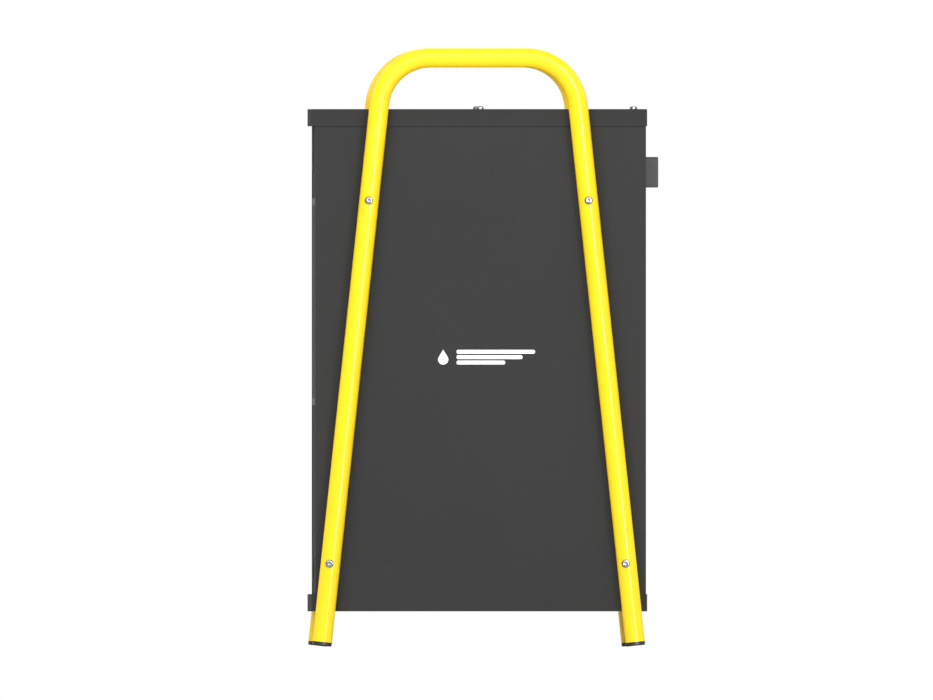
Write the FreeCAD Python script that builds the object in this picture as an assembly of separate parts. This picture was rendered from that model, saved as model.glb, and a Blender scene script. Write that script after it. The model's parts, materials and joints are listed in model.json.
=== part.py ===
"""Portable commercial dehumidifier: sheet-metal cabinet between two bent tube frames.

Axes: +Z up, the control console and water tank face -Y, left is -X.
Everything is drawn about the middle of the frames and moved once, on export, so that the
origin lies on the floor under the middle of the overall box.  Millimetres throughout.
"""
import FreeCAD, Part
import math
import os
from FreeCAD import Vector, Rotation, Placement

os.makedirs("parts", exist_ok=True)

X, Y, Z = Vector(1, 0, 0), Vector(0, 1, 0), Vector(0, 0, 1)
SIDES = (-1, 1)

# ---------------------------------------------------------------- driving dimensions
# tube frames
frame_height = 763.0        # floor to the top of the lifting bar
tube_od = 25.0
tube_wall = 1.5
bend_radius = 66.0          # centreline
leg_lean = 6.06             # degrees from upright
foot_spread = 400.0         # between leg axes at floor level, front to back
foot_rim = 5.0              # thickness of the end plug outside the tube
foot_insert = 22.0
upper_bolt_z = 568.5
lower_bolt_z = 105.8
upper_bolt_out = 0.4        # upper bolts off the leg axes, away from the middle
lower_bolt_back = 1.6       # lower bolts off the leg axes, towards the rear
bolt_d = 6.0
bolt_head_d = 10.5
bolt_head_h = 3.3
nut_flange_r = 6.0
spot_face = 0.6             # depth of the flat pressed into the tube under a bolt head

# cabinet
cabinet_w = 450.0           # over the side panels
panel_front = 213.4         # side panel's front edge, forward of the frame middle
panel_rear = 207.6          # side panel's rear edge
cap_front_lap = 1.5         # lid and base pan, beyond the side panels' front edges
cap_rear_lap = 5.5          # and beyond their rear edges
lid_top = 685.0
lid_lip = 22.0
lid_gap = 0.3               # lid lip to side panel
lid_corner = 1.5
fold_r = 1.1                # outside radius of the lid's top edge
base_z = 45.0
base_lip = 22.0
sheet = 1.2
panel_return = 15.0         # folded edge of a side panel
lid_screw_spacing = 370.0
lid_screw_y = -2.2          # the pair of lid screws, off the frame middle
lid_screw_inset = 15.0      # front lid screw to the lid's front edge

# levels and walls inside
deck_z = 290.0              # top of the middle deck
shelf_z = 575.0             # underside of the electrics shelf
divider_x = 20.0            # left face of the bay divider

# console
console_w = 250.0
console_z = 585.0
console_h = 39.0
console_out = 16.7          # front face proud of the side panels' edge
button_proud = 0.3
window_proud = 0.1
button_travel = 1.2
button_gap = 0.3

# water tank
tank_w = 200.0
tank_mid_x = -100.0
tank_depth = 300.0
tank_z = 72.0
tank_h = 186.0
tank_wall = 2.5
tank_lid_t = 3.0
tank_gap = 2.0
fill_hole_d = 60.0
pull_w, pull_h, pull_depth = 100.0, 35.0, 22.0

# air path
fan_d = 244.0
fan_tip_gap = 5.0
fan_hub_d = 70.0
fan_blades = 5
shaft_d = 8.0
running_gap = 0.1           # radial clearance of every shaft and pin
motor_d = 84.0
motor_len = 58.0
shroud_y = 20.0
outlet_w, outlet_h = 330.0, 215.0
outlet_mid_z = 437.0
intake_w, intake_h = 360.0, 254.0
filter_t = 12.0
filter_rim = 10.0
filter_y = 189.0            # front face of the filter

# coils
coil_w = 360.0              # over the end plates
coil_runs = 10
run_pitch = 25.4
coil_first_z = 318.0
coil_tube_d = 9.5
coil_tube_wall = 0.8
fin_depth = 34.0
fin_pitch = 9.0
fin_t = 0.6
condenser_y = 85.0
evaporator_y = 140.0

# compressor
comp_x, comp_y = 122.0, 30.0
comp_d = 120.0
comp_bottom, comp_top = 66.0, 262.0
comp_foot_r = 80.0
stud_d = 8.0
accum_x, accum_y = 58.0, 92.0
accum_d = 44.0

# ---------------------------------------------------------------- derived values
lean = math.radians(leg_lean)
half_w = cabinet_w / 2
inner_x = half_w - sheet                    # side panel's inner face
lid_half_x = half_w + lid_gap + sheet
tube_r = tube_od / 2
tube_x = lid_half_x + lid_gap + tube_r      # tube axis, clear of the lid
bar_z = frame_height - tube_r
cap_front = -(panel_front + cap_front_lap)  # lid and base pan, front edge
cap_rear = panel_rear + cap_rear_lap
lid_under = lid_top - sheet
front_face = -(panel_front - sheet)         # front panel's outer face
rear_face = panel_rear - sheet              # rear panel's outer face
front_in = front_face + sheet
rear_in = rear_face - sheet
pan_floor = base_z + sheet
deck_under = deck_z - sheet
shelf_top = shelf_z + sheet
console_face = -(panel_front + console_out)
y_shift = (panel_front + console_out + button_proud - cap_rear) / 2


# ---------------------------------------------------------------- small tools
def block(x0, x1, y0, y1, z0, z1):
    """Box between three pairs of coordinates."""
    return Part.makeBox(x1 - x0, y1 - y0, z1 - z0, Vector(x0, y0, z0))


def rod(start, axis, radius, length):
    return Part.makeCylinder(radius, length, start, axis)


def ring(start, axis, outer, inner, length):
    return rod(start, axis, outer, length).cut(rod(start, axis, inner, length))


def join(shapes):
    """Fuse touching or overlapping shapes into one clean solid."""
    return shapes[0].multiFuse(shapes[1:]).removeSplitter()


def cut_all(shape, tools):
    return shape.cut(Part.makeCompound(tools)) if tools else shape


def hexagon(start, axis, across_flats, length):
    """Hexagonal prism along X, Y or Z."""
    reach = across_flats / math.sqrt(3)
    side = X if abs(axis.dot(X)) < 0.5 else Y
    up = axis.cross(side)
    corners = [start + side * (reach * math.cos(math.radians(60 * i)))
               + up * (reach * math.sin(math.radians(60 * i))) for i in range(6)]
    return Part.Face(Part.makePolygon(corners + corners[:1])).extrude(axis * length)


def bent_path(points, radius):
    """Straight runs joined by tangent arcs of one radius."""
    edges, last = [], points[0]
    for before, corner, after in zip(points, points[1:], points[2:]):
        to_before = (before - corner).normalize()
        to_after = (after - corner).normalize()
        half_angle = to_before.getAngle(to_after) / 2
        reach = radius / math.tan(half_angle)
        start, end = corner + to_before * reach, corner + to_after * reach
        middle_way = (to_before + to_after).normalize()
        middle = corner + middle_way * (radius / math.sin(half_angle) - radius)
        if (start - last).Length > 1e-6:
            edges.append(Part.LineSegment(last, start).toShape())
        edges.append(Part.Arc(start, middle, end).toShape())
        last = end
    edges.append(Part.LineSegment(last, points[-1]).toShape())
    return Part.Wire(edges)


def bent_rod(points, bend, radius):
    path = bent_path(points, bend)
    circle = Part.Wire(Part.makeCircle(radius, points[0], points[1] - points[0]))
    return path.makePipe(Part.Face(circle))


def bent_tube(points, bend, radius, wall):
    return bent_rod(points, bend, radius).cut(bent_rod(points, bend, radius - wall))


def cross_recess(start, axis, width, depth):
    """Two crossed slots, for cutting into a screw head."""
    side = X if abs(axis.dot(X)) < 0.5 else Y
    up = axis.cross(side)
    slots = []
    for along, across in ((side, up), (up, side)):
        corner = start - along * (width / 2) - across * (width / 8)
        face = Part.Face(Part.makePolygon([
            corner, corner + along * width, corner + along * width + across * (width / 4),
            corner + across * (width / 4), corner]))
        slots.append(face.extrude(axis * depth))
    return slots[0].fuse(slots[1])


def rounded_block(x0, x1, y0, y1, z0, z1, radius, axis):
    """Box with the four edges along one axis rounded."""
    solid = block(x0, x1, y0, y1, z0, z1)
    edges = [e for e in solid.Edges
             if abs((e.Vertexes[1].Point - e.Vertexes[0].Point).normalize().dot(axis)) > 0.99]
    return solid.makeFillet(radius, edges)


def save(name, shape):
    solids = [s for s in shape.Solids]
    moved = Part.makeCompound(solids) if len(solids) > 1 else solids[0]
    moved = moved.copy()
    moved.translate(Y * y_shift)
    moved.exportStep("parts/%s.step" % name)


# ---------------------------------------------------------------- tube frames
def leg_y(z):
    """Distance of a leg's axis from the frame middle at height z."""
    return foot_spread / 2 - z * math.tan(lean)


def leg_way(end):
    """Unit vector down a leg; end is -1 at the front, +1 at the rear."""
    return Vector(0, end * math.sin(lean), -math.cos(lean))


foot_round = 1.5
foot_tip_z = (tube_r - foot_round) * math.sin(lean) + foot_round * (1 - math.cos(lean))


def foot_point(side, end, lift=0.0):
    """Point on a leg's axis, lift above the end of the plug along the leg."""
    tip = Vector(side * tube_x, end * leg_y(foot_tip_z), foot_tip_z)
    return tip - leg_way(end) * lift


def bolt_places(side):
    upper = [end * (leg_y(upper_bolt_z) + upper_bolt_out) for end in SIDES]
    lower = [end * leg_y(lower_bolt_z) + lower_bolt_back for end in SIDES]
    return [Vector(side * tube_x, y, z) for ys, z in ((upper, upper_bolt_z), (lower, lower_bolt_z))
            for y in ys]


def frame_route(side):
    corner = leg_y(bar_z)
    return [foot_point(side, -1, foot_rim), Vector(side * tube_x, -corner, bar_z),
            Vector(side * tube_x, corner, bar_z), foot_point(side, 1, foot_rim)]


def frame_tube(side):
    tube = bent_tube(frame_route(side), bend_radius, tube_r, tube_wall)
    cuts = []
    for place in bolt_places(side):
        cuts.append(rod(place - X * tube_od, X, bolt_d / 2 + running_gap, 2 * tube_od))
        seat = place + X * (side * (tube_r - spot_face))
        cuts.append(rod(seat, X * side, bolt_head_d / 2 + 0.5, tube_r))
    return cut_all(tube, cuts)


def foot_plug(side, end):
    tip, up = foot_point(side, end), leg_way(end) * -1
    rim = rod(tip, up, tube_r, foot_rim)
    low_edge = min(rim.Edges, key=lambda e: (e.BoundBox.Center - tip).Length)
    rim = rim.makeFillet(foot_round, [low_edge])
    insert = rod(tip + up * foot_rim, up, tube_r - tube_wall, foot_insert)
    hollow = rod(tip + up * (foot_rim + 2), up, tube_r - tube_wall - 2, foot_insert)
    return join([rim, insert]).cut(hollow)


def tube_spacer(place, side):
    thick = tube_x - half_w
    washer = ring(Vector(side * half_w, place.y, place.z), X * side, 8.0,
                  bolt_d / 2 + running_gap, thick)
    end = 1 if place.y > 0 else -1
    leg = rod(foot_point(side, end), leg_way(end) * -1, tube_r, frame_height - bend_radius)
    return washer.cut(leg)


def frame_bolt(place, side):
    seat = place + X * (side * (tube_r - spot_face))
    out = X * side
    dome = rod(seat, out, bolt_head_d / 2, bolt_head_h)
    rim_edge = [e for e in dome.Edges if (e.BoundBox.Center - seat - out * bolt_head_h).Length < 0.1]
    dome = dome.makeFillet(2.2, rim_edge)
    socket = hexagon(seat + out * 1.2, out, 4.0, bolt_head_h)
    shank_length = abs(seat.x) - inner_x + 10
    shank = rod(seat, out * -1, bolt_d / 2, shank_length)
    return join([dome.cut(socket), shank])


def frame_nut(place, side):
    face = Vector(side * inner_x, place.y, place.z)
    flange = rod(face, X * -side, nut_flange_r, 1.2)
    nut = hexagon(face, X * -side, 10.0, 6.0)
    return join([flange, nut]).cut(rod(face, X * -side, bolt_d / 2, 8))


def make_frames():
    for side, name in zip(SIDES, ("left", "right")):
        save(name + "_frame_tube", frame_tube(side))
    save("foot_plugs", Part.makeCompound([foot_plug(s, e) for s in SIDES for e in SIDES]))
    for name, maker in (("tube_spacers", tube_spacer), ("frame_bolts", frame_bolt),
                        ("frame_nuts", frame_nut)):
        save(name, Part.makeCompound([maker(p, s) for s in SIDES for p in bolt_places(s)]))


# ---------------------------------------------------------------- cabinet
screw_x = half_w - 9.0                     # panel screws, in the folded edges
screw_levels = (base_z + 75, base_z + 320, lid_top - 45)
flat_head_d, flat_head_h, screw_d, screw_len = 7.5, 2.2, 4.0, 5.5
lid_screw_d, lid_head_d, lid_head_h = 5.0, 9.5, 3.7
filter_gap = 1.2
filter_low, filter_high = deck_z + 15.7, shelf_z - 1.7


def flat_screw(x, z, face, inward):
    """Countersunk screw whose head is flush with a panel; inward is -1 or +1 along Y."""
    start = Vector(x, face, z)
    head = Part.makeCone(flat_head_d / 2, screw_d / 2, flat_head_h, start, Y * inward)
    return join([head, rod(start, Y * inward, screw_d / 2, screw_len)])


def panel_screw_set(end):
    face = panel_rear if end > 0 else -panel_front
    return [flat_screw(s * screw_x, z, face, -end) for s in SIDES for z in screw_levels]


def lid_screw_points():
    y_front = cap_front + lid_screw_inset
    half = lid_screw_spacing / 2
    return [Vector(-half, lid_screw_y, lid_top), Vector(half, lid_screw_y, lid_top),
            Vector(0, y_front, lid_top)]


def lid_screw(place):
    head = rod(place, Z, lid_head_d / 2, lid_head_h)
    rim_edge = [e for e in head.Edges if abs(e.BoundBox.Center.z - place.z - lid_head_h) < 0.1]
    head = head.makeFillet(1.8, rim_edge)
    head = head.cut(cross_recess(place + Z * 1.4, Z, 5.2, lid_head_h))
    return join([head, rod(place, Z * -1, lid_screw_d / 2, 12.0)])


def base_pan():
    outer = block(-inner_x, inner_x, cap_front, cap_rear, base_z, base_z + base_lip)
    inner = block(-inner_x + sheet, inner_x - sheet, cap_front + sheet, cap_rear - sheet,
                  pan_floor, base_z + base_lip)
    pan = outer.cut(inner)
    return cut_all(pan, [rod(p, Z, stud_d / 2, 20) for p in stud_points(base_z - 5)])


def side_panel(side):
    low, high = base_z, lid_under
    panel = block(half_w - sheet, half_w, -panel_front, panel_rear, low, high)
    fold_low = base_z + base_lip + 0.5
    fold_x = half_w - panel_return
    folds = [block(fold_x, half_w, -panel_front, front_face, fold_low, high),
             block(fold_x, half_w, rear_face, panel_rear, fold_low, high),
             block(fold_x, half_w, -panel_front, panel_rear, high - sheet, high)]
    panel = join([panel] + folds)
    if side < 0:
        panel = panel.mirror(Vector(0, 0, 0), X)
    cuts = [rod(Vector(side * (half_w - 5), p.y, p.z), X * side, bolt_d / 2 + running_gap, 10)
            for p in bolt_places(side)]
    cuts += panel_screw_set(-1) + panel_screw_set(1)
    if side > 0:
        cuts.append(block(half_w - 5, half_w + 5, filter_y - filter_gap,
                          filter_y + filter_t + filter_gap, filter_low - 0.8, filter_high + 0.8))
    return cut_all(panel, cuts)


def end_panel(end, openings):
    """Front or rear panel between the folded edges, with a flange under the lid."""
    outer = front_face if end < 0 else rear_face
    inner = outer - end * sheet
    y0, y1 = min(outer, inner), max(outer, inner)
    half = inner_x - sheet - 0.2
    flange_half = half_w - panel_return - 0.5
    flange_in = outer - end * 26
    panel = block(-half, half, y0, y1, pan_floor, lid_under - sheet)
    panel = join([panel,
                  block(-flange_half, flange_half, y0, y1, lid_under - sheet, lid_under),
                  block(-flange_half, flange_half, min(flange_in, y1), max(flange_in, y0),
                        lid_under - sheet, lid_under)])
    return cut_all(panel, openings + panel_screw_set(end))


def front_panel():
    y0, y1 = front_face - 5, front_face + 10
    x0, x1 = tank_mid_x - tank_w / 2 - tank_gap, tank_mid_x + tank_w / 2 + tank_gap
    bay = block(x0, x1, y0, y1, tank_z - tank_gap, tank_z + tank_h + tank_lid_t + tank_gap)
    outlet = block(-outlet_w / 2, outlet_w / 2, y0, y1, outlet_mid_z - outlet_h / 2,
                   outlet_mid_z + outlet_h / 2)
    wires = block(-30, 30, y0, y1, console_z + 10, console_z + console_h - 10)
    front_hole = rod(lid_screw_points()[2] - Z * 15, Z, lid_screw_d / 2, 20)
    return end_panel(-1, [bay, outlet, wires, front_hole])


def rear_panel():
    y0, y1 = rear_in - 10, rear_face + 5
    mid = intake_mid_z
    intake = block(-intake_w / 2, intake_w / 2, y0, y1, mid - intake_h / 2, mid + intake_h / 2)
    inlet = block(inlet_x - inlet_w / 2 + 4, inlet_x + inlet_w / 2 - 4, y0, y1,
                  inlet_z - inlet_h / 2 + 4, inlet_z + inlet_h / 2 - 4)
    port = rod(Vector(port_x, y0, port_z), Y, port_body_d / 2, 30)
    return end_panel(1, [intake, inlet, port])


def lid():
    outer = rounded_block(-lid_half_x, lid_half_x, cap_front, cap_rear,
                          lid_top - lid_lip, lid_top, lid_corner, Z)
    top_edges = [e for e in outer.Edges if abs(e.BoundBox.ZMin - lid_top) < 1e-4]
    outer = outer.makeFillet(fold_r, top_edges)
    inner = rounded_block(-lid_half_x + sheet, lid_half_x - sheet, cap_front + sheet,
                          cap_rear - sheet, lid_top - lid_lip, lid_under, lid_corner - sheet, Z)
    holes = [rod(p - Z * 5, Z, lid_screw_d / 2 + 0.15, 10) for p in lid_screw_points()]
    return cut_all(outer.cut(inner), holes)


def top_brace():
    plate_half = half_w - panel_return - 0.2
    leg_low = lid_under - 20
    legs = [block(-inner_x, inner_x, y, y + sheet, leg_low, lid_under - sheet)
            for y in (-15.0, 15.0 - sheet)]
    plate = block(-plate_half, plate_half, -15, 15, lid_under - sheet, lid_under)
    brace = join([plate] + legs)
    return cut_all(brace, [rod(p - Z * 15, Z, lid_screw_d / 2, 20)
                           for p in lid_screw_points()[:2]])


def middle_deck():
    deck = block(-inner_x, inner_x, front_in, rear_in, deck_under, deck_z)
    holes = [rod(Vector(x, y, deck_under - 5), Z, r, 10) for x, y, r in deck_holes]
    return cut_all(deck, holes)


def bay_divider():
    wall = block(divider_x, divider_x + sheet, front_in, rear_in, pan_floor, deck_under)
    foot = block(divider_x, divider_x + 10, front_in, rear_in, pan_floor, pan_floor + sheet)
    head = block(divider_x, divider_x + 10, front_in, rear_in, deck_under - sheet, deck_under)
    return join([wall, foot, head])


def electrics_shelf():
    shelf = block(-inner_x, inner_x, front_in, rear_in, shelf_z, shelf_top)
    front_up = block(-inner_x, inner_x, front_in, front_in + sheet, shelf_z, shelf_top + 8)
    rear_up = block(-inner_x, inner_x, rear_in - sheet, rear_in, shelf_z, shelf_top + 8)
    return join([shelf, front_up, rear_up])


# ---------------------------------------------------------------- console
console_wall = 2.0
console_mid_z = console_z + console_h / 2
cap_flange = 1.5
board_y = console_face + 10.7
board_t = 1.6
window_w, window_h = 80.0, 22.0
round_cap_d = 17.0
key_w, key_h = 15.0, 12.0
button_x = {"power_button": -104.0, "mode_button": -70.0,
            "speed_button": 62.0, "down_button": 85.0, "up_button": 108.0}


def cap_shape(name, grow, y0, y1):
    """A button's outline, grown all round, between two depths."""
    x = button_x[name]
    if name == "power_button":
        return rod(Vector(x, y0, console_mid_z), Y, round_cap_d / 2 + grow, y1 - y0)
    half_x, half_z = key_w / 2 + grow, key_h / 2 + grow
    return rounded_block(x - half_x, x + half_x, y0, y1, console_mid_z - half_z,
                         console_mid_z + half_z, 2.0 + grow, Y)


def button(name):
    front = console_face - button_proud
    back = console_face + console_wall
    cap = cap_shape(name, 0, front, back + 1.0)
    rim = [e for e in cap.Edges if abs(e.BoundBox.YMax - front) < 1e-4]
    cap = cap.makeFillet(0.6, rim)
    return join([cap, cap_shape(name, cap_flange, back, back + 1.0)])


def console_housing():
    half, top = console_w / 2, console_z + console_h
    shell = rounded_block(-half, half, console_face, front_face, console_z, top, 2.5, Y)
    rim = [e for e in shell.Edges if abs(e.BoundBox.YMax - console_face) < 1e-4]
    shell = shell.makeFillet(1.2, rim)
    wall = console_wall
    shell = shell.cut(block(-half + wall, half - wall, console_face + wall, front_face + 5,
                            console_z + wall, top - wall))
    window = block(-window_w / 2, window_w / 2, console_face - 5, console_face + 5,
                   console_mid_z - window_h / 2, console_mid_z + window_h / 2)
    shell = cut_all(shell, [window] + [cap_shape(n, button_gap, console_face - 5, console_face + 5)
                                       for n in button_x])
    posts = [rod(Vector(s * 52, console_face + wall, console_mid_z + e * 14), Y, 2.5,
                 board_y - console_face - wall) for s in SIDES for e in SIDES]
    return join([shell] + posts)


def display_window():
    return rounded_block(-window_w / 2, window_w / 2, console_face - window_proud,
                         console_face + console_wall, console_mid_z - window_h / 2,
                         console_mid_z + window_h / 2, 0.3, Y)


def control_board():
    half = console_w / 2 - console_wall - 4
    board = block(-half, half, board_y, board_y + board_t, console_mid_z - 16, console_mid_z + 16)
    switch_face = console_face + console_wall + 1.0 + button_travel + 0.3
    switches = [block(x - 3, x + 3, switch_face, board_y, console_mid_z - 3, console_mid_z + 3)
                for x in button_x.values()]
    display = block(-window_w / 2 + 2, window_w / 2 - 2, console_face + console_wall + 1,
                    board_y, console_mid_z - window_h / 2 + 2, console_mid_z + window_h / 2 - 2)
    return join([board, display] + switches)


# ---------------------------------------------------------------- air path
intake_mid_z = (filter_low + filter_high) / 2
slat_t = 2.0


def outlet_grille():
    half, high = outlet_w / 2, outlet_h / 2
    z0, z1 = outlet_mid_z - high, outlet_mid_z + high
    flange = block(-half - 7, half + 7, -panel_front, front_face, z0 - 7, z1 + 7)
    depth_end = front_face + 14
    sleeve = block(-half, half, front_face, depth_end, z0, z1)
    way = block(-half + 2, half - 2, -panel_front - 1, depth_end + 1, z0 + 2, z1 - 2)
    frame = join([flange, sleeve]).cut(way)
    slats = []
    count = 10
    pitch = (outlet_h - 4) / (count + 1)
    mid_y = (-panel_front + depth_end) / 2
    for i in range(count):
        z = z0 + 2 + pitch * (i + 1)
        slat = block(-half + 1, half - 1, mid_y - 7, mid_y + 7, z - slat_t / 2, z + slat_t / 2)
        slat.rotate(Vector(0, mid_y, z), X, 28)
        slats.append(slat)
    posts = [block(x - 1.5, x + 1.5, mid_y + 1, mid_y + 4, z0 + 1, z1 - 1)
             for x in (-outlet_w / 6, outlet_w / 6)]
    return join([frame] + slats + posts)


def intake_grille():
    half, high = intake_w / 2, intake_h / 2
    z0, z1 = intake_mid_z - high, intake_mid_z + high
    flange = block(-half - 7, half + 7, rear_face, panel_rear, z0 - 5, z1 + 5)
    sleeve = block(-half, half, rear_in - 0.8, rear_face, z0, z1)
    frame = join([flange, sleeve]).cut(
        block(-half + 3, half - 3, rear_in - 2, panel_rear + 1, z0 + 3, z1 - 3))
    count = 29
    pitch = (intake_w - 6) / (count + 1)
    middles = [pitch * (i - (count - 1) / 2) for i in range(count)]
    bars = [block(x - 1.4, x + 1.4, rear_in - 0.8, panel_rear - 0.3, z0 + 2, z1 - 2)
            for x in middles]
    stays = [block(-half + 2, half - 2, rear_in - 0.8, panel_rear - 0.8, z - 2, z + 2)
             for z in (intake_mid_z - high / 2, intake_mid_z, intake_mid_z + high / 2)]
    return join([frame] + bars + stays)


def filter_frame():
    x0, x1 = -205.0, half_w
    y0, y1 = filter_y, filter_y + filter_t
    rim = block(x0, x1, y0, y1, filter_low, filter_high)
    hollow = block(x0 + filter_rim, x1 - filter_rim, y0 - 1, y1 + 1,
                   filter_low + filter_rim, filter_high - filter_rim)
    ribs = [block(x - 1.5, x + 1.5, y0 + 7, y1 - 1, filter_low + 5, filter_high - 5)
            for x in (-100.0, 5.0, 110.0)]
    middle = (filter_low + filter_high) / 2
    tab = block(x1, x1 + 8, filter_y + 4.5, filter_y + 7.5, middle - 20, middle + 20)
    return join([rim.cut(hollow), tab] + ribs)


def filter_mesh():
    return block(-205.0 + filter_rim, half_w - filter_rim, filter_y + 6, filter_y + 7,
                 filter_low + filter_rim, filter_high - filter_rim)


def filter_guides():
    lips = []
    y0, y1 = filter_y - filter_gap - sheet, filter_y + filter_t + filter_gap
    for z0, z1, edge in ((deck_z, filter_low - 0.5, filter_low + 7),
                         (filter_high + 0.5, shelf_z, filter_high - 7)):
        web = block(-210, inner_x - 1, y0, y1 + sheet, z0, z1)
        if z1 - z0 > 4:
            web = web.cut(block(-211, inner_x, y0 + sheet, y1, z0 - 1, z1 - sheet))
        low, high = min(edge, z0), max(edge, z1)
        walls = [block(-210, inner_x - 1, y, y + sheet, low, high) for y in (y0, y1)]
        lips.append(join([web] + walls))
    return Part.makeCompound(lips)


def fan_shroud():
    hole_r = fan_d / 2 + fan_tip_gap
    plate = block(-inner_x, inner_x, shroud_y, shroud_y + sheet, deck_z, shelf_z)
    plate = plate.cut(rod(Vector(0, shroud_y - 1, fan_z), Y, hole_r, 5))
    mouth = ring(Vector(0, shroud_y - 30, fan_z), -Y * -1, hole_r + 1.5, hole_r, 30 + sheet)
    return join([plate, mouth])


fan_z = (deck_z + shelf_z) / 2
motor_rear = shroud_y - 42.0
hub_y0, hub_y1 = shroud_y - 32.0, shroud_y - 2.0


def blade(turn):
    """One twisted blade: a thin section at the hub blended to a flatter one at the tip."""
    wires = []
    for radius, chord, pitch_deg in ((fan_hub_d / 2 - 4, 44, 38), (fan_d / 2, 78, 20)):
        slope = math.radians(pitch_deg)
        along = Vector(math.cos(slope), math.sin(slope), 0)
        thick = Vector(-math.sin(slope), math.cos(slope), 0) * 1.2
        centre = Vector(0, (hub_y0 + hub_y1) / 2, fan_z + radius)
        a, b = centre - along * (chord / 2), centre + along * (chord / 2)
        wires.append(Part.makePolygon([a - thick, b - thick, b + thick, a + thick, a - thick]))
    shape = Part.makeLoft(wires, True, True)
    shape.rotate(Vector(0, 0, fan_z), Y, turn)
    return shape


def fan_rotor():
    hub = rod(Vector(0, hub_y0, fan_z), Y, fan_hub_d / 2, hub_y1 - hub_y0)
    shaft = rod(Vector(0, motor_rear - 14, fan_z), Y, shaft_d / 2, hub_y0 - motor_rear + 20)
    limit = rod(Vector(0, hub_y0 - 5, fan_z), Y, fan_d / 2, 45)
    blades = [blade(360 / fan_blades * i).common(limit) for i in range(fan_blades)]
    return join([hub, shaft] + blades)


def fan_motor():
    start = Vector(0, motor_rear, fan_z)
    body = rod(start, -Y, motor_d / 2, motor_len)
    body = body.makeFillet(5, [e for e in body.Edges if e.Length > motor_d * 3])
    boss = rod(start + Y * 4, -Y, 14, 8)
    bore = rod(start + Y * 5, -Y, shaft_d / 2 + running_gap, 24)
    return join([body, boss]).cut(bore)


def motor_bracket():
    y1 = motor_rear - motor_len
    y0 = y1 - 3
    strap = block(-20, 20, y0, y1, deck_z, shelf_z)
    feet = [block(-20, 20, y0 - 20, y1, deck_z, deck_z + 3),
            block(-20, 20, y0 - 20, y1, shelf_z - 3, shelf_z)]
    return join([strap] + feet)


# ---------------------------------------------------------------- coils and pipes
fin_low, fin_high = deck_z + 16, deck_z + 270
run_end_x = coil_w / 2 + 8
bend_start_x = coil_w / 2 + 2
last_run_z = coil_first_z + run_pitch * (coil_runs - 1)
run_levels = [coil_first_z + run_pitch * i for i in range(coil_runs)]
tray_floor = deck_z + sheet


def coil_tube(y):
    """Serpentine tube with both ends on the right-hand side."""
    points = [Vector(run_end_x, y, run_levels[0])]
    bend_x = bend_start_x + run_pitch / 2
    side = -1
    for low, high in zip(run_levels, run_levels[1:]):
        points += [Vector(side * bend_x, y, low), Vector(side * bend_x, y, high)]
        side = -side
    points.append(Vector(run_end_x, y, run_levels[-1]))
    return bent_tube(points, run_pitch / 2 - 1e-4, coil_tube_d / 2, coil_tube_wall)


def run_holes(y, x0, length):
    return [rod(Vector(x0, y, z), X, coil_tube_d / 2, length) for z in run_levels]


def coil_fins(y):
    count = int((coil_w - 20) / fin_pitch)
    first = -fin_pitch * (count - 1) / 2
    pattern = block(0, fin_t, y - fin_depth / 2, y + fin_depth / 2, fin_low, fin_high)
    pattern = cut_all(pattern, run_holes(y, -1, 4))
    fins = []
    for i in range(count):
        fin = pattern.copy()
        fin.translate(X * (first + fin_pitch * i))
        fins.append(fin)
    return Part.makeCompound(fins)


def coil_plates(y):
    plates = []
    for side in SIDES:
        x0 = side * coil_w / 2 - (sheet if side > 0 else 0)
        plate = block(x0, x0 + sheet, y - fin_depth / 2, y + fin_depth / 2, tray_floor, shelf_z)
        plates.append(cut_all(plate, run_holes(y, x0 - 1, 4)))
    return Part.makeCompound(plates)


spout_x, spout_y, spout_d = -100.0, 65.0, 20.0
hose_x, hose_y, hose_d, hose_bore = 150.0, 110.0, 18.0, 14.0
port_x, port_z, port_body_d, port_bore_d = hose_x, 100.0, 24.0, 16.0
port_flange_d, port_depth = 34.0, 30.0
suction_d, discharge_d, capillary_d = coil_tube_d, 8.0, 3.0
riser_x = 208.0
pipe_level = deck_under - 11.0
tray_y0, tray_y1 = 50.0, 175.0
deck_holes = [(spout_x, spout_y, spout_d / 2 + 1), (hose_x, hose_y, hose_d / 2 + 1),
              (riser_x, evaporator_y, suction_d / 2 + 2),
              (riser_x, condenser_y, discharge_d / 2 + 2)]


def drip_tray():
    outer = block(-202, 202, tray_y0, tray_y1, deck_z, deck_z + 13)
    tray = outer.cut(block(-200, 200, tray_y0 + 2, tray_y1 - 2, tray_floor, deck_z + 20))
    spout = rod(Vector(spout_x, spout_y, deck_z - 24), Z, spout_d / 2, 24)
    barb = rod(Vector(hose_x, hose_y, deck_z - 20), Z, hose_bore / 2, 20)
    bores = [rod(Vector(spout_x, spout_y, deck_z - 30), Z, spout_d / 2 - 2, 40),
             rod(Vector(hose_x, hose_y, deck_z - 30), Z, hose_bore / 2 - 1.5, 40)]
    return cut_all(join([tray, spout, barb]), bores)


def drain_hose():
    top = Vector(hose_x, hose_y, deck_z - 2)
    route = [top, Vector(hose_x, hose_y, port_z), Vector(hose_x, port_inner + 18, port_z)]
    return bent_tube(route, 32, hose_d / 2, (hose_d - hose_bore) / 2)


port_inner = 150.0


def drain_port():
    flange = rod(Vector(port_x, rear_face, port_z), Y, port_flange_d / 2, sheet)
    body = rod(Vector(port_x, 172, port_z), Y, port_body_d / 2, rear_face - 172)
    barb = rod(Vector(port_x, port_inner, port_z), Y, hose_bore / 2, 30)
    bore = rod(Vector(port_x, panel_rear - port_depth, port_z), Y, port_bore_d / 2, port_depth + 1)
    channel = rod(Vector(port_x, port_inner - 1, port_z), Y, hose_bore / 2 - 1.5, 40)
    return join([flange, body, barb]).cut(bore.fuse(channel))


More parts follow.
